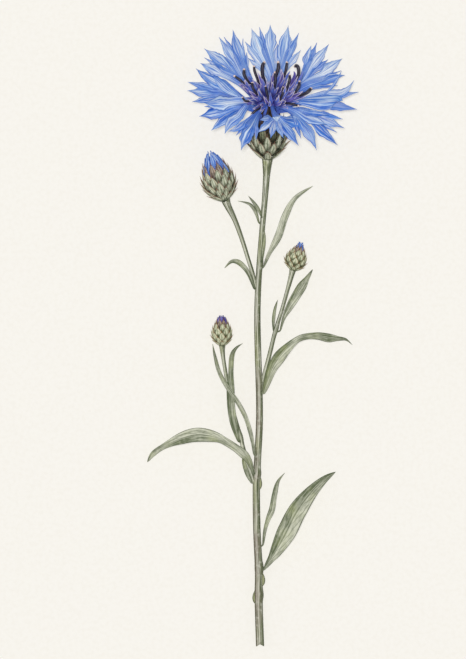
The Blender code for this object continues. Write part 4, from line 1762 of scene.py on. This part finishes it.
@dataclass
class Head:
    """The open head's own parts: its floor with bristles and its four rows of bracts."""

    outline: Keys = (
        (0.0, 1.3), (1.5, 2.9), (3.3, 4.15), (5.0, 4.9), (6.6, 5.15), (9.0, 4.95), (11.0, 4.6), (13.0, 4.2),
        (14.5, 4.0),
    )
    # The fourth row, under the florets, takes the darker bract finish as painted shade; the first row's lay
    # starts at 0.22 to lessen the painted shade at its foot.
    rows: tuple[Row, ...] = (
        Row(0.9, 6.2, 2.3, 8, 0.03, 1.4, 0.9, foot_share=0.22), Row(3.0, 8.9, 2.4, 9, 0.5, 1.4, 1.1),
        Row(4.6, 11.1, 2.4, 9, 0.03, 1.0, 1.2), Row(7.2, 14.5, 2.3, 10, 0.5, 0.4, 1.2, finish="bract_in_painted_shade"),
    )
    floor: Keys = (
        (0.3, 0.9), (1.2, 1.2), (3.0, 2.5), (5.0, 3.5), (6.8, 3.7), (8.8, 3.4), (9.4, 2.4), (9.6, 0.3),
    )
    cap_radius: float = 3.2
    bristle_density: float = 1.1e7
    ROUND = 28
    FLOOR_ROWS = 30
    FIRST_SEED = 20

    def build(self, kit: Kit) -> None:
        """Make the parts and settle them.

        Args:
            kit: the materials and the trees.
        """
        matrix = frame_of(HEAD_BASE, AXIS)
        for number, row in enumerate(self.rows, 1):
            name = f"involucre_row_{number}"
            finish = kit.paints[row.finish]
            obj = row.grow(kit, f"{name}_bracts", self.outline, finish, self.FIRST_SEED + number)
            obj.data.transform(matrix)
            kit.settle(obj, "bract", name)
        self.build_floor(kit, matrix)

    def build_floor(self, kit: Kit, matrix: Matrix) -> None:
        """Make the receptacle and the bristles on it.

        Args:
            kit: the materials and the trees.
            matrix: the placing of the head.
        """
        chaff = kit.paints["chaff"]
        height = np.linspace(self.floor[0][0], self.floor[-1][0], self.FLOOR_ROWS)
        centre = HEAD_BASE + np.outer(height, AXIS)
        body = Shell()
        rings = rings_of(centre, shaped(height, self.floor), self.ROUND)
        body.add_rod(rings, np.zeros((self.FLOOR_ROWS, self.ROUND + 1, 2)))
        core = body.build("receptacle_core", chaff)
        cap = Shell()
        top = np.array(((0.0, 0.0, 9.2), (0.0, 0.0, 9.35), (0.0, 0.0, 9.5)))
        cap.add_rod(rings_of(top, np.full(3, self.cap_radius), self.ROUND), np.zeros((3, self.ROUND + 1, 2)))
        bare = cap.build("receptacle_cap", chaff)
        bristle = Shell()
        route = np.array(((0.0, 0.0, -0.1), (0.05, 0.0, 2.5), (0.15, 0.05, 4.8), (0.4, 0.1, 6.8)))
        bristle.add_rod(rings_of(route, np.array((0.09, 0.08, 0.06, 0.015)), 3), np.zeros((4, 4, 2)))
        template = bristle.build("bristle_template", chaff)
        tuft = kit.down.grow(
            "receptacle_tuft", bare, Hair=template, Density=self.bristle_density, Seed=7, Lowest_Normal=0.5,
            Material=chaff,
        )
        kit.drop(template)
        for obj in (bare, tuft):
            obj.data.transform(matrix)
        kit.settle(joined("receptacle_floor", [core, bare, tuft]), "core", "receptacle")


@dataclass
class Bud:
    """One closed bud: rows of bracts and the tuft of florets between them."""

    name: str
    foot: tuple[float, float, float]
    tip: tuple[float, float, float]
    belly: float
    count: int
    widths: tuple[float, ...]
    tips: tuple[float, ...]
    bracts: tuple[str, ...]
    tuft_paint: str
    tuft: tuple[Row, ...]
    lean: float = 0.0
    OUTLINE = ((0.0, 0.22), (0.1, 0.58), (0.22, 0.86), (0.36, 1.0), (0.5, 0.96), (0.63, 0.82), (0.78, 0.58),
               (0.92, 0.32), (1.0, 0.12))
    BRACT_SEED, TUFT_SEED = 40, 60
    CORE_ROWS, CORE_ROUND = 16, 20

    def core(self, outline: Keys, length: float) -> Shell:
        """Make the dark inside of the tuft, a spindle in painted shade.

        Args:
            outline: (height, radius) of the bud.
            length: the bud's length.

        Returns:
            A spindle in the bud's own frame.
        """
        height = np.linspace(0.45, 0.93, self.CORE_ROWS)
        radius = np.interp(height * length, *np.array(outline).T) * np.minimum(0.82, (0.94 - height) * 9.0)
        centre = np.outer(height * length, UP)
        shell = Shell()
        lay = np.full((self.CORE_ROWS, self.CORE_ROUND + 1, 2), 0.5)
        # The core takes the full deep colour, as painted shade inside the tuft.
        shell.add_rod(rings_of(centre, radius, self.CORE_ROUND), lay, deep=1.0)
        return shell

    def bent(self, obj: bpy.types.Object, length: float) -> bpy.types.Object:
        """Lean the upper part of an object sideways, in the bud's own frame.

        Args:
            obj: what is bent.
            length: the bud's length.

        Returns:
            The same object.
        """
        places = np.empty(3 * len(obj.data.vertices))
        obj.data.vertices.foreach_get("co", places)
        places = places.reshape(-1, 3)
        places[:, 0] += self.lean * MM * np.clip(places[:, 2] / (length * MM), 0.0, 1.2) ** 2.5
        obj.data.vertices.foreach_set("co", places.ravel())
        return obj

    def build(self, kit: Kit) -> None:
        """Make the bracts and the tuft, and settle them.

        Args:
            kit: the materials and the trees.
        """
        foot, tip = np.array(self.foot), np.array(self.tip)
        length = float(np.linalg.norm(tip - foot))
        matrix = frame_of(foot, tip - foot)
        outline = tuple((length * rise, self.belly * width) for rise, width in self.OUTLINE)
        rows = []
        for number, (width, height) in enumerate(zip(self.widths, self.tips)):
            low = max(height - 0.32 * length, 0.1)
            row = Row(low, height, width, self.count, 0.5 * (number % 2), 0.14 * self.belly, 0.2 * self.belly)
            finish = kit.paints[self.bracts[number]]
            rows.append(row.grow(kit, f"{self.name}_row", outline, finish, self.BRACT_SEED + number))
        cup = self.bent(joined(f"{self.name}_bracts", rows), length)
        cup.data.transform(matrix)
        kit.settle(cup, "bract", f"{self.name}_involucre")
        petal = kit.paints[self.tuft_paint]
        rings = [row.grow(kit, f"{self.name}_ring", outline, petal, self.TUFT_SEED + number)
                 for number, row in enumerate(self.tuft)]
        rings.append(self.core(outline, length).build(f"{self.name}_core", petal))
        tuft = self.bent(joined(f"{self.name}_tuft", rings), length)
        tuft.data.transform(matrix)
        kit.settle(tuft, "petal", f"{self.name}_florets")


# --- The plant --------------------------------------------------------------------------
STEMS = (
    Stem(
        "main_stem",
        ((2.0, -88.1, 1.15), (1.6, -75.5, 1.15), (1.65, -67.0, 1.2), (1.1, -55.5, 1.3), (0.95, -43.0, 1.4),
         (1.3, -35.5, 1.45), (1.8, -26.0, 1.5), (1.8, -17.0, 1.5), (1.4, -4.5, 1.5), (1.25, 7.0, 1.5),
         (1.75, 18.5, 1.5), (2.6, 30.0, 1.5), (3.4, 39.0, 1.5), (3.85, 45.6, 2.45), (4.1, 50.4, 4.6)),
        (1.12, 1.1, 1.08, 1.02, 1.0, 0.96, 0.95, 0.92, 0.9, 0.86, 0.82, 0.76, 0.8, 0.95, 1.55),
        1.0, (-74.0, -66.2, -39.5, -13.5, 20.5),
        ((-42.1, 1.0, 0.95), (-69.6, 1.0, 1.05), (-74.6, -1.0, 0.95)),
    ),
    Stem(
        "side_stem_upper_left",
        ((0.85, 13.6, 1.5), (0.05, 17.0, 1.6), (-1.3, 21.4, 1.8), (-3.1, 27.1, 2.4), (-5.2, 32.8, 3.2),
         (-7.3, 37.0, 4.0), (-8.1, 39.4, 4.5)),
        (0.5, 0.55, 0.56, 0.6, 0.68, 1.0, 1.5), rows=130, ribs=7,
    ),
    Stem(
        "side_stem_right",
        ((2.35, -15.6, 1.5), (2.8, -13.0, 1.5), (3.4, -10.6, 1.5), (4.3, -7.2, 1.5), (5.3, -3.1, 1.6),
         (6.4, 1.4, 1.8), (8.2, 7.1, 2.2),
         (9.8, 12.8, 2.6), (11.0, 17.3, 2.9), (11.5, 19.4, 3.05)),
        (0.5, 0.6, 0.6, 0.6, 0.58, 0.56, 0.52, 0.54, 0.75, 1.15), knots=(1.6,), rows=140, ribs=7,
    ),
    Stem(
        "side_stem_lower_left",
        ((0.3, -42.0, 1.4), (-0.75, -38.7, 1.4), (-2.4, -33.6, 1.4), (-4.3, -26.5, 1.5), (-6.2, -19.7, 1.7),
         (-7.4, -13.1, 2.0), (-8.4, -7.1, 2.4), (-8.75, -4.1, 2.7), (-8.8, -2.1, 2.9)),
        (0.5, 0.58, 0.58, 0.55, 0.52, 0.5, 0.52, 0.7, 1.1), knots=(-29.0,), rows=160, ribs=7,
    ),
)

LEAVES = (
    Leaf(
        "leaf_large_lower_right",
        ((3.5, -66.2, 1.85), (5.0, -64.0, 2.7), (6.7, -61.3, 3.6), (9.8, -55.6, 4.7), (12.5, -50.3, 4.9),
         (16.2, -45.2, 4.0), (20.1, -41.3, 2.3), (23.5, -39.0, 0.5)),
        ((0.0, 0.9), (0.14, 1.9), (0.28, 3.4), (0.43, 5.5), (0.57, 5.3), (0.71, 3.8), (0.86, 2.0),
         (0.95, 0.8), (1.0, 0.0)),
        ((0.0, 0.1, 0.5), (0.15, 0.2, 0.9), (0.5, 0.35, 0.95), (0.75, 0.25, 0.75), (1.0, 0.1, 0.2)),
    ),
    Leaf(
        "leaf_narrow_lower_right",
        ((2.9, -59.4, 1.45), (3.4, -55.6, 2.2), (4.3, -52.4, 3.0), (5.4, -49.6, 3.4), (6.1, -45.6, 3.2),
         (7.1, -41.8, 2.6), (9.0, -39.3, 1.9)),
        ((0.0, 0.5), (0.25, 1.1), (0.5, 1.65), (0.7, 1.4), (0.9, 0.5), (1.0, 0.0)),
        ((0.0, 0.3, 0.6), (0.5, 0.4, 0.9), (1.0, 0.2, 0.3)),
    ),
    Leaf(
        "leaf_large_left",
        ((0.0, -39.0, 2.75), (-1.3, -35.6, 3.6), (-3.4, -33.3, 4.3), (-7.2, -30.7, 5.2), (-10.8, -29.0, 6.0),
         (-16.0, -28.4, 6.2), (-20.6, -29.5, 5.0), (-25.4, -31.7, 2.8),
         (-28.4, -33.8, 1.4), (-30.1, -36.2, 0.5)),
        ((0.0, 0.9), (0.11, 1.7), (0.2, 2.5), (0.28, 2.1), (0.37, 2.2), (0.55, 4.0), (0.65, 3.4), (0.75, 1.9),
         (0.8, 1.5), (0.88, 1.5), (0.96, 0.7), (1.0, 0.0)),
        ((0.0, 0.05, 0.1), (0.14, 0.2, 0.3), (0.28, 0.8, 0.9), (0.38, 0.45, 1.0), (0.55, 0.45, 1.0),
         (0.76, 0.45, 0.8), (0.86, 0.9, 0.4), (1.0, 0.4, 0.2)),
    ),
    Leaf(
        "leaf_sheath_lower_left",
        ((-0.35, -41.9, 1.3), (-1.35, -39.8, 1.4), (-2.35, -36.8, 1.5), (-2.9, -33.8, 1.7)),
        ((0.0, 0.8), (0.4, 1.5), (0.7, 1.3), (1.0, 0.0)),
        ((0.0, 0.55, 0.1), (0.5, 0.4, 0.3), (1.0, 0.1, 0.2)),
    ),
    Leaf(
        "leaf_along_lower_left",
        ((-4.3, -29.6, 2.6), (-5.2, -26.0, 3.3), (-6.1, -21.6, 3.7), (-6.4, -15.7, 3.9), (-6.3, -10.0, 3.6),
         (-6.0, -6.0, 2.9), (-4.9, -3.8, 2.2), (-3.0, -2.4, 1.6)),
        ((0.0, 0.9), (0.2, 2.2), (0.42, 2.2), (0.58, 1.4), (0.72, 1.35), (0.84, 0.8), (0.94, 0.3),
         (1.0, 0.0)),
        ((0.0, 0.1, 0.3), (0.3, 0.15, 0.55), (0.6, 0.3, 0.1), (1.0, 0.1, 0.1)),
    ),
    Leaf(
        "leaf_crossing_lower_left",
        ((0.35, -33.6, 2.6), (-0.1, -30.8, 3.5), (-0.9, -27.2, 4.4), (-2.3, -23.0, 5.2), (-4.4, -19.1, 5.8),
         (-7.2, -15.0, 6.0), (-9.6, -10.6, 5.2), (-10.9, -5.8, 3.6), (-11.5, -2.6, 2.4)),
        ((0.0, 0.7), (0.3, 1.15), (0.55, 1.2), (0.75, 1.1), (0.9, 0.6), (1.0, 0.0)),
        ((0.0, 0.4, 0.75), (0.5, 0.5, 0.85), (0.7, 0.7, 0.35), (1.0, 0.3, 0.2)),
    ),
    Leaf(
        "leaf_large_right",
        ((3.15, -16.3, 2.5), (3.9, -14.0, 2.9), (5.4, -9.7, 3.8), (7.5, -6.3, 4.7), (10.1, -3.4, 5.4),
         (12.8, -1.2, 5.4),
         (15.5, -0.35, 4.8), (18.7, -0.3, 4.0), (21.4, -0.8, 3.2), (24.2, -1.0, 2.4), (26.5, -1.3, 1.5),
         (28.3, -2.8, 0.6)),
        ((0.0, 0.9), (0.09, 1.7), (0.18, 2.7), (0.27, 3.4), (0.36, 2.6), (0.46, 1.7), (0.55, 1.75),
         (0.63, 2.1),
         (0.73, 2.45), (0.82, 1.3), (0.91, 0.6), (1.0, 0.0)),
        ((0.0, 0.1, 0.6), (0.15, 0.1, 0.9), (0.4, 0.15, 0.95), (0.46, 0.6, 0.8), (0.5, 0.85, 0.2),
         (0.56, 0.3, 0.3),
         (0.8, 0.3, 0.5), (1.0, 0.15, 0.1)),
    ),
    Leaf(
        "leaf_right_side_stem",
        ((7.85, 1.6, 2.2), (8.8, 4.9, 2.9), (10.6, 8.4, 3.4), (13.0, 12.4, 3.2), (15.1, 15.7, 2.4),
         (17.0, 18.7, 1.4)),
        ((0.0, 0.4), (0.2, 1.0), (0.5, 2.5), (0.65, 2.6), (0.85, 1.2), (1.0, 0.0)),
        ((0.0, 0.1, 0.5), (0.3, 0.35, 0.8), (0.6, 0.45, 0.85), (0.8, 0.3, 0.6), (1.0, 0.1, 0.2)),
    ),
    Leaf(
        "leaf_small_right_side_stem",
        ((5.8, 1.9, 2.2), (5.85, 4.4, 2.6), (6.2, 7.2, 2.6), (7.0, 10.0, 2.2)),
        ((0.0, 0.4), (0.4, 0.95), (0.7, 0.7), (1.0, 0.0)), ((0.0, 0.1, 0.4), (1.0, 0.1, 0.3)),
    ),
    Leaf(
        "leaf_upper_left_side_stem",
        ((0.4, 13.4, 2.3), (-1.1, 17.2, 3.0), (-2.5, 19.3, 3.4), (-4.3, 20.8, 3.2), (-6.2, 20.9, 2.4),
         (-8.1, 19.1, 1.3)),
        ((0.0, 0.7), (0.3, 1.3), (0.55, 1.4), (0.8, 0.9), (1.0, 0.0)),
        ((0.0, 0.1, 0.2), (0.4, 0.15, 0.8), (1.0, 0.1, 0.6)),
    ),
    Leaf(
        "leaf_upper_right",
        ((3.2, 19.8, 1.9), (4.6, 23.2, 2.8), (7.2, 28.2, 3.8), (9.2, 34.0, 4.2), (12.0, 39.0, 3.4),
         (17.1, 42.5, 1.8)),
        ((0.0, 0.5), (0.2, 1.1), (0.42, 2.1), (0.65, 1.8), (0.82, 1.1), (0.93, 0.5), (1.0, 0.0)),
        ((0.0, 0.4, 0.6), (0.35, 1.1, 0.75), (0.6, 1.15, 0.7), (1.0, 1.0, 0.4)),
    ),
    Leaf(
        "leaf_bract_upper_right",
        ((2.55, 21.4, 2.65), (2.9, 24.5, 3.0), (3.2, 27.2, 3.0), (3.35, 29.4, 2.7)),
        ((0.0, 0.6), (0.4, 1.0), (0.75, 0.7), (1.0, 0.0)), ((0.0, 0.3, 0.1), (1.0, 0.3, 0.1)),
    ),
    Leaf(
        "leaf_neck_outer",
        ((1.55, 32.4, 1.6), (1.0, 34.4, 1.8), (0.1, 36.2, 2.0), (-1.4, 37.5, 1.9), (-4.3, 38.2, 1.5)),
        ((0.0, 0.5), (0.4, 1.0), (0.7, 0.75), (1.0, 0.0)),
        ((0.0, 0.2, 0.1), (0.5, 0.7, 0.2), (1.0, 0.5, 0.2)),
    ),
    Leaf(
        "leaf_neck_inner",
        ((2.3, 34.0, 2.5), (1.6, 35.6, 3.0), (0.6, 37.2, 3.2), (-1.3, 39.6, 2.9)),
        ((0.0, 0.5), (0.4, 1.0), (0.7, 0.8), (1.0, 0.0)), ((0.0, 0.5, 0.2), (1.0, 0.4, 0.2)),
    ),
)

RAYS = (
    RayFloret(1, (8, 7.2), 1, (
        Lobe(-23, 14.0, 1.3), Lobe(-20, 18.8, 2.3), Lobe(-12, 21.9, 3.6, pale=0.4),
        Lobe(-6, 22.0, 1.7, lift=-0.5),
        Lobe(2, 22.5, 3.3, pale=0.2)), 0.55, 0.52, mouth=1.2, fan=0.04),
    RayFloret(2, (23, 7.2), 0, (
        Lobe(9.5, 17.3, 2.4, lift=-0.4, pale=0.5), Lobe(15, 23.1, 4.0, pale=0.35), Lobe(24, 22.1, 2.1),
        Lobe(32, 17.9, 1.9)), 0.5, 0.5,
              mouth=1.1, fan=0.06),
    RayFloret(3, (58, 10.8), 0, (
        Lobe(37, 20.7, 2.3), Lobe(39, 22.4, 1.5, lift=-0.5, pale=0.2), Lobe(46, 24.4, 2.9, pale=0.1),
        Lobe(54, 21.4, 1.8, lift=-0.5)), 0.2, 0.5, mouth=1.0, fan=0.08),
    RayFloret(4, (66, 10.8), 1, (
        Lobe(59, 24.9, 3.3, pale=0.3), Lobe(66, 23.0, 1.0, lift=-0.4), Lobe(70, 23.5, 2.7, -0.3, lift=0.2),
        Lobe(76, 20.7, 0.9, lift=-0.4)), 0.3, 0.5, mouth=1.3, fan=0.1),
    RayFloret(5, (88, 9.4), 2, (
        Lobe(75, 25.5, 2.4, 2.0), Lobe(83, 26.2, 2.1, lift=-0.3, pale=0.1),
        Lobe(94, 25.6, 2.8, lift=-0.8, pale=0.2)),
        0.0, 0.45, (Flap(((84, 14.5), (80, 17.0), (74, 19.8), (66.5, 23.0)), 0.8, 0.2, 0.3),
                    Flap(((86, 8.0), (89, 12.0), (90, 16.0), (89, 19.8)), 4.2, 0.9, 0.15, End.BLUNT, -1.6)),
        fan=0.02, flare=0.06),
    RayFloret(6, (103, 9.6), 0, (
        Lobe(102, 21.9, 1.9), Lobe(108, 23.0, 2.5), Lobe(113, 21.5, 1.4, lift=-0.3), Lobe(121, 23.3, 3.0)),
        0.0, 0.4),
    RayFloret(7, (108, 7.2), 3, (
        Lobe(101, 17.8, 1.8), Lobe(110, 18.0, 2.6, lift=0.4, pale=0.15), Lobe(134, 19.4, 3.1, -0.4, lift=0.2),
        Lobe(137, 13.9, 1.4, lift=-0.6)), 0.05, 0.4, tube=INNER_TUBE),
    RayFloret(8, (149, 4.5), 2, (
        Lobe(122, 12.7, 3.4, -0.3, lift=0.5, pale=0.1), Lobe(144, 15.1, 3.0), Lobe(156, 11.0, 2.1),
        Lobe(175, 10.1, 2.0),
        Lobe(-161, 9.1, 2.3, pale=0.1), Lobe(-155, 5.4, 1.9, pale=0.1)), 0.0, 0.34,
        # The lip flap's paleness of 1.3 makes a painted highlight on the fold of the mouth.
        (Flap(((148, 4.7), (151, 5.3), (154, 6.0)), 2.4, 1.9, 1.3, End.LIP),),
        0.08, INNER_TUBE, 0.8, knee=105.0),
    RayFloret(9, (-136, 3.7), 3, (
        Lobe(-163, 11.1, 1.2, lift=-0.8), Lobe(-151, 15.5, 3.5, 0.3), Lobe(-136, 12.9, 1.4, lift=-0.5),
        Lobe(-126, 13.8, 2.2, -0.6)), 0.15, 0.5, dusk=0.13, tube=INNER_TUBE, mouth=0.6, fan=0.03, flare=0.04),
    RayFloret(10, (-92, 5.2), 1, (Lobe(-126, 15.0, 2.9, 0.7),), 0.1, tube=INNER_TUBE, mouth=0.7),
    RayFloret(11, (-98, 8.0), 0, (Lobe(-116, 17.8, 2.5), Lobe(-101, 19.8, 3.5),
              Lobe(-93, 18.0, 1.6, lift=-0.4)), 0.0),
    RayFloret(12, (-85, 6.2), 2, (Lobe(-90, 18.0, 4.3, -0.3, pale=0.35),), 0.1),
    RayFloret(13, (-78, 10.6), 0, (Lobe(-89, 21.5, 2.0), Lobe(-81, 23.1, 3.0, pale=0.1),
              Lobe(-75, 23.5, 2.5)), 0.15),
    RayFloret(14, (-78, 7.8), 2, (Lobe(-64, 22.7, 3.4, -0.4),), 0.05, mouth=0.75,
              flaps=(Flap(((-77, 8.5), (-71, 12.5), (-63, 17.2)), 2.3, 0.8, 0.15),)),
    RayFloret(15, (-52, 9.2), 1, (Lobe(-59, 22.3, 3.2), Lobe(-54, 22.2, 1.4, lift=-0.4)),
              0.15, 0.5, mouth=1.2),
    RayFloret(16, (-42, 8.3), 0, (
        Lobe(-49, 23.9, 3.1, pale=0.2), Lobe(-44, 20.1, 1.2, lift=-0.5), Lobe(-36, 23.5, 2.5),
        Lobe(-33, 22.8, 1.4, lift=-0.4), Lobe(-25, 23.3, 2.9, -0.2, pale=0.25), Lobe(-20.5, 19.8, 1.0, -0.4),
        Lobe(-22, 15.7, 1.1, -0.2, lift=-0.3, pale=0.4)), 0.2, 0.52, mouth=1.5, fan=0.05),
)

DISCS = (
    DiscFloret(1, 2, -85, ((-53, 7.4), (-50, 9.8), (-51, 12.4)), 0.36),
    DiscFloret(2, 2, -60, ((-43, 6.8), (-42, 8.8), (-39, 10.6), (-34, 11.8)), 0.44),
    DiscFloret(3, 1, -80, ((-54, 3.2), (-45, 5.7), (-36, 7.4)), 0.36),
    DiscFloret(4, 2, -30, ((-24, 5.5), (-23, 7.1), (-22, 9.8), (-20, 11.3)), 0.38),
    DiscFloret(5, 1, -20, ((-8, 5.1), (-10, 8.3), (-8, 10.5), (-4, 11.8)), 0.5),
    DiscFloret(6, 0, 0, ((40, 0.6), (-5, 3.1), (-7, 4.9)), 0.36),
    DiscFloret(7, 1, 25, ((25, 4.5), (20, 6.6), (13, 9.2)), 0.42),
    DiscFloret(8, 2, 10, ((18, 6.6), (17, 8.5), (17, 10.5), (14, 12.3)), 0.48),
    DiscFloret(9, 2, 35, ((34, 7.6), (29, 10.8), (25, 13.0)), 0.4),
    DiscFloret(10, 1, 75, ((58, 5.9), (45, 8.8), (38, 10.2)), 0.4),
    DiscFloret(11, 2, 60, ((55, 8.6), (48, 11.7), (42, 13.1), (38, 13.4), (37, 12.7)), 0.5),
    DiscFloret(12, 1, 125, ((82, 3.3), (57, 5.2), (44, 6.4)), 0.38),
    DiscFloret(13, 2, 85, ((74, 6.6), (69, 8.5), (62, 10.1), (55, 11.1)), 0.42),
    DiscFloret(14, 2, 115, ((79, 7.4), (76, 11.3), (71, 13.3)), 0.5),
    DiscFloret(15, 2, 145, ((91, 5.0), (92, 6.7), (96, 9.1)), 0.34),
    DiscFloret(16, 2, -100, ((-82, 4.4), (-85, 6.2), (-77, 7.4)), 0.3, False),
    DiscFloret(17, 2, -125, ((-124, 2.2), (-123, 3.9), (-126, 5.9)), 0.36, False),
)

BUDS = (
    Bud("bud_upper_left", (-8.0, 37.9, 4.9), (-12.0, 52.0, 5.8), 4.5, 9,
        (1.7, 2.1, 2.3, 2.4, 2.4, 2.1), (2.6, 4.5, 6.4, 8.2, 10.0, 11.6),
        ("bract", "bract", "bract", "bract", "bract", "bract_brown"), "petal",
        (Row(8.0, 13.6, 1.9, 8, 0.3, 0.4, 0.5, Margin.PLAIN, 0.28),
         Row(8.6, 14.6, 1.5, 7, 0.0, 0.3, 0.7, Margin.PLAIN, 0.28),
         Row(9.6, 15.2, 1.2, 4, 0.4, 0.0, 1.0, Margin.PLAIN, 0.28)), -0.3),
    Bud("bud_right", (11.25, 18.2, 3.3), (13.45, 25.6, 3.6), 2.85, 7,
        (1.3, 1.7, 2.0, 2.1, 1.9, 1.5), (1.6, 2.9, 4.2, 5.4, 6.5, 7.4),
        ("bract_pale", "bract_pale", "bract_pale", "bract_pale", "bract_pale", "bract_brown"), "petal",
        (Row(5.4, 8.1, 0.8, 7, 0.3, 0.5, 0.4, Margin.PLAIN, 0.28),
         Row(5.8, 8.6, 0.7, 5, 0.0, 0.3, 0.5, Margin.PLAIN, 0.28))),
    Bud("bud_lower_left", (-8.75, -3.3, 3.2), (-9.0, 5.4, 3.4), 2.7, 7,
        (1.3, 1.7, 2.0, 2.1, 1.9, 1.5), (1.6, 2.9, 4.2, 5.5, 6.7, 7.7),
        ("bract_pale", "bract_pale", "bract_pale", "bract_pale", "bract_pale", "bract_brown"), "petal_violet",
        (Row(5.8, 8.5, 0.8, 7, 0.3, 0.5, 0.4, Margin.PLAIN, 0.28),
         Row(6.2, 8.9, 0.7, 5, 0.0, 0.3, 0.5, Margin.PLAIN, 0.28))),
)


@dataclass
class Studio:
    """The surface, the light and the camera."""

    centre: tuple[float, float] = (-5.7, 1.57)
    height: float = 187.8
    lens: float = 1000.0
    sensor: float = 36.0
    ambient: float = 0.33
    paper_half: float = 900.0
    paper_middle: float = -3.0
    paper_thickness: float = 5.6
    key_place: tuple[float, float, float] = (-130.0, 150.0, 6200.0)
    key_size: float = 420.0
    key_power: float = 260.0
    clip: tuple[float, float] = (0.1, 10.0)

    def build(self, kit: Kit) -> None:
        """Make the surface, the lights and the camera.

        Args:
            kit: the materials and the trees.
        """
        shell = Shell()
        side = np.array((-self.paper_half, self.paper_half))
        x, y = np.meshgrid(side, side)
        grid = np.stack((x, y, np.full(x.shape, self.paper_middle)), axis=-1)
        shell.add_sheet(grid, self.paper_thickness, grid_lay(2, 2))
        floor = shell.build("surface", kit.paints["paper"])
        world = bpy.data.worlds.new("studio")
        bpy.context.scene.world = world
        world.use_nodes = True
        back = world.node_tree.nodes["Background"]
        back.inputs["Color"].default_value = (1.0, 1.0, 1.0, 1.0)
        back.inputs["Strength"].default_value = self.ambient
        self.add_lamp()
        self.add_camera()
        bpy.context.scene.view_settings.view_transform = "Standard"

    def add_lamp(self) -> None:
        """Add the soft square lamp, which looks at the plant's middle."""
        data = bpy.data.lights.new("key", "AREA")
        data.shape, data.size, data.energy = "SQUARE", self.key_size * MM, self.key_power
        lamp = bpy.data.objects.new("key", data)
        lamp.location = Vector(self.key_place) * MM
        lamp.rotation_euler = (-lamp.location).to_track_quat("-Z", "Y").to_euler()
        bpy.context.scene.collection.objects.link(lamp)

    def add_camera(self) -> None:
        """Add the camera, which looks straight down."""
        camera = bpy.data.objects.new("camera", bpy.data.cameras.new("camera"))
        camera.data.lens, camera.data.sensor_width = self.lens, self.sensor
        camera.data.clip_start, camera.data.clip_end = self.clip
        camera.location = Vector((*self.centre, self.height * self.lens / self.sensor)) * MM
        bpy.context.scene.collection.objects.link(camera)
        bpy.context.scene.camera = camera


def main() -> None:
    """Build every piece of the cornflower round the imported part."""
    logging.basicConfig(level=logging.INFO, format="%(message)s")
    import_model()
    kit = Kit()
    for stem in STEMS:
        stem.build(kit)
    for leaf in LEAVES:
        leaf.build(kit)
    Head().build(kit)
    for ray in RAYS:
        ray.build(kit)
    for disc in DISCS:
        disc.build(kit)
    for bud in BUDS:
        bud.build(kit)
    kit.drop(kit.hair)
    Studio().build(kit)


if __name__ == "__main__":
    main()
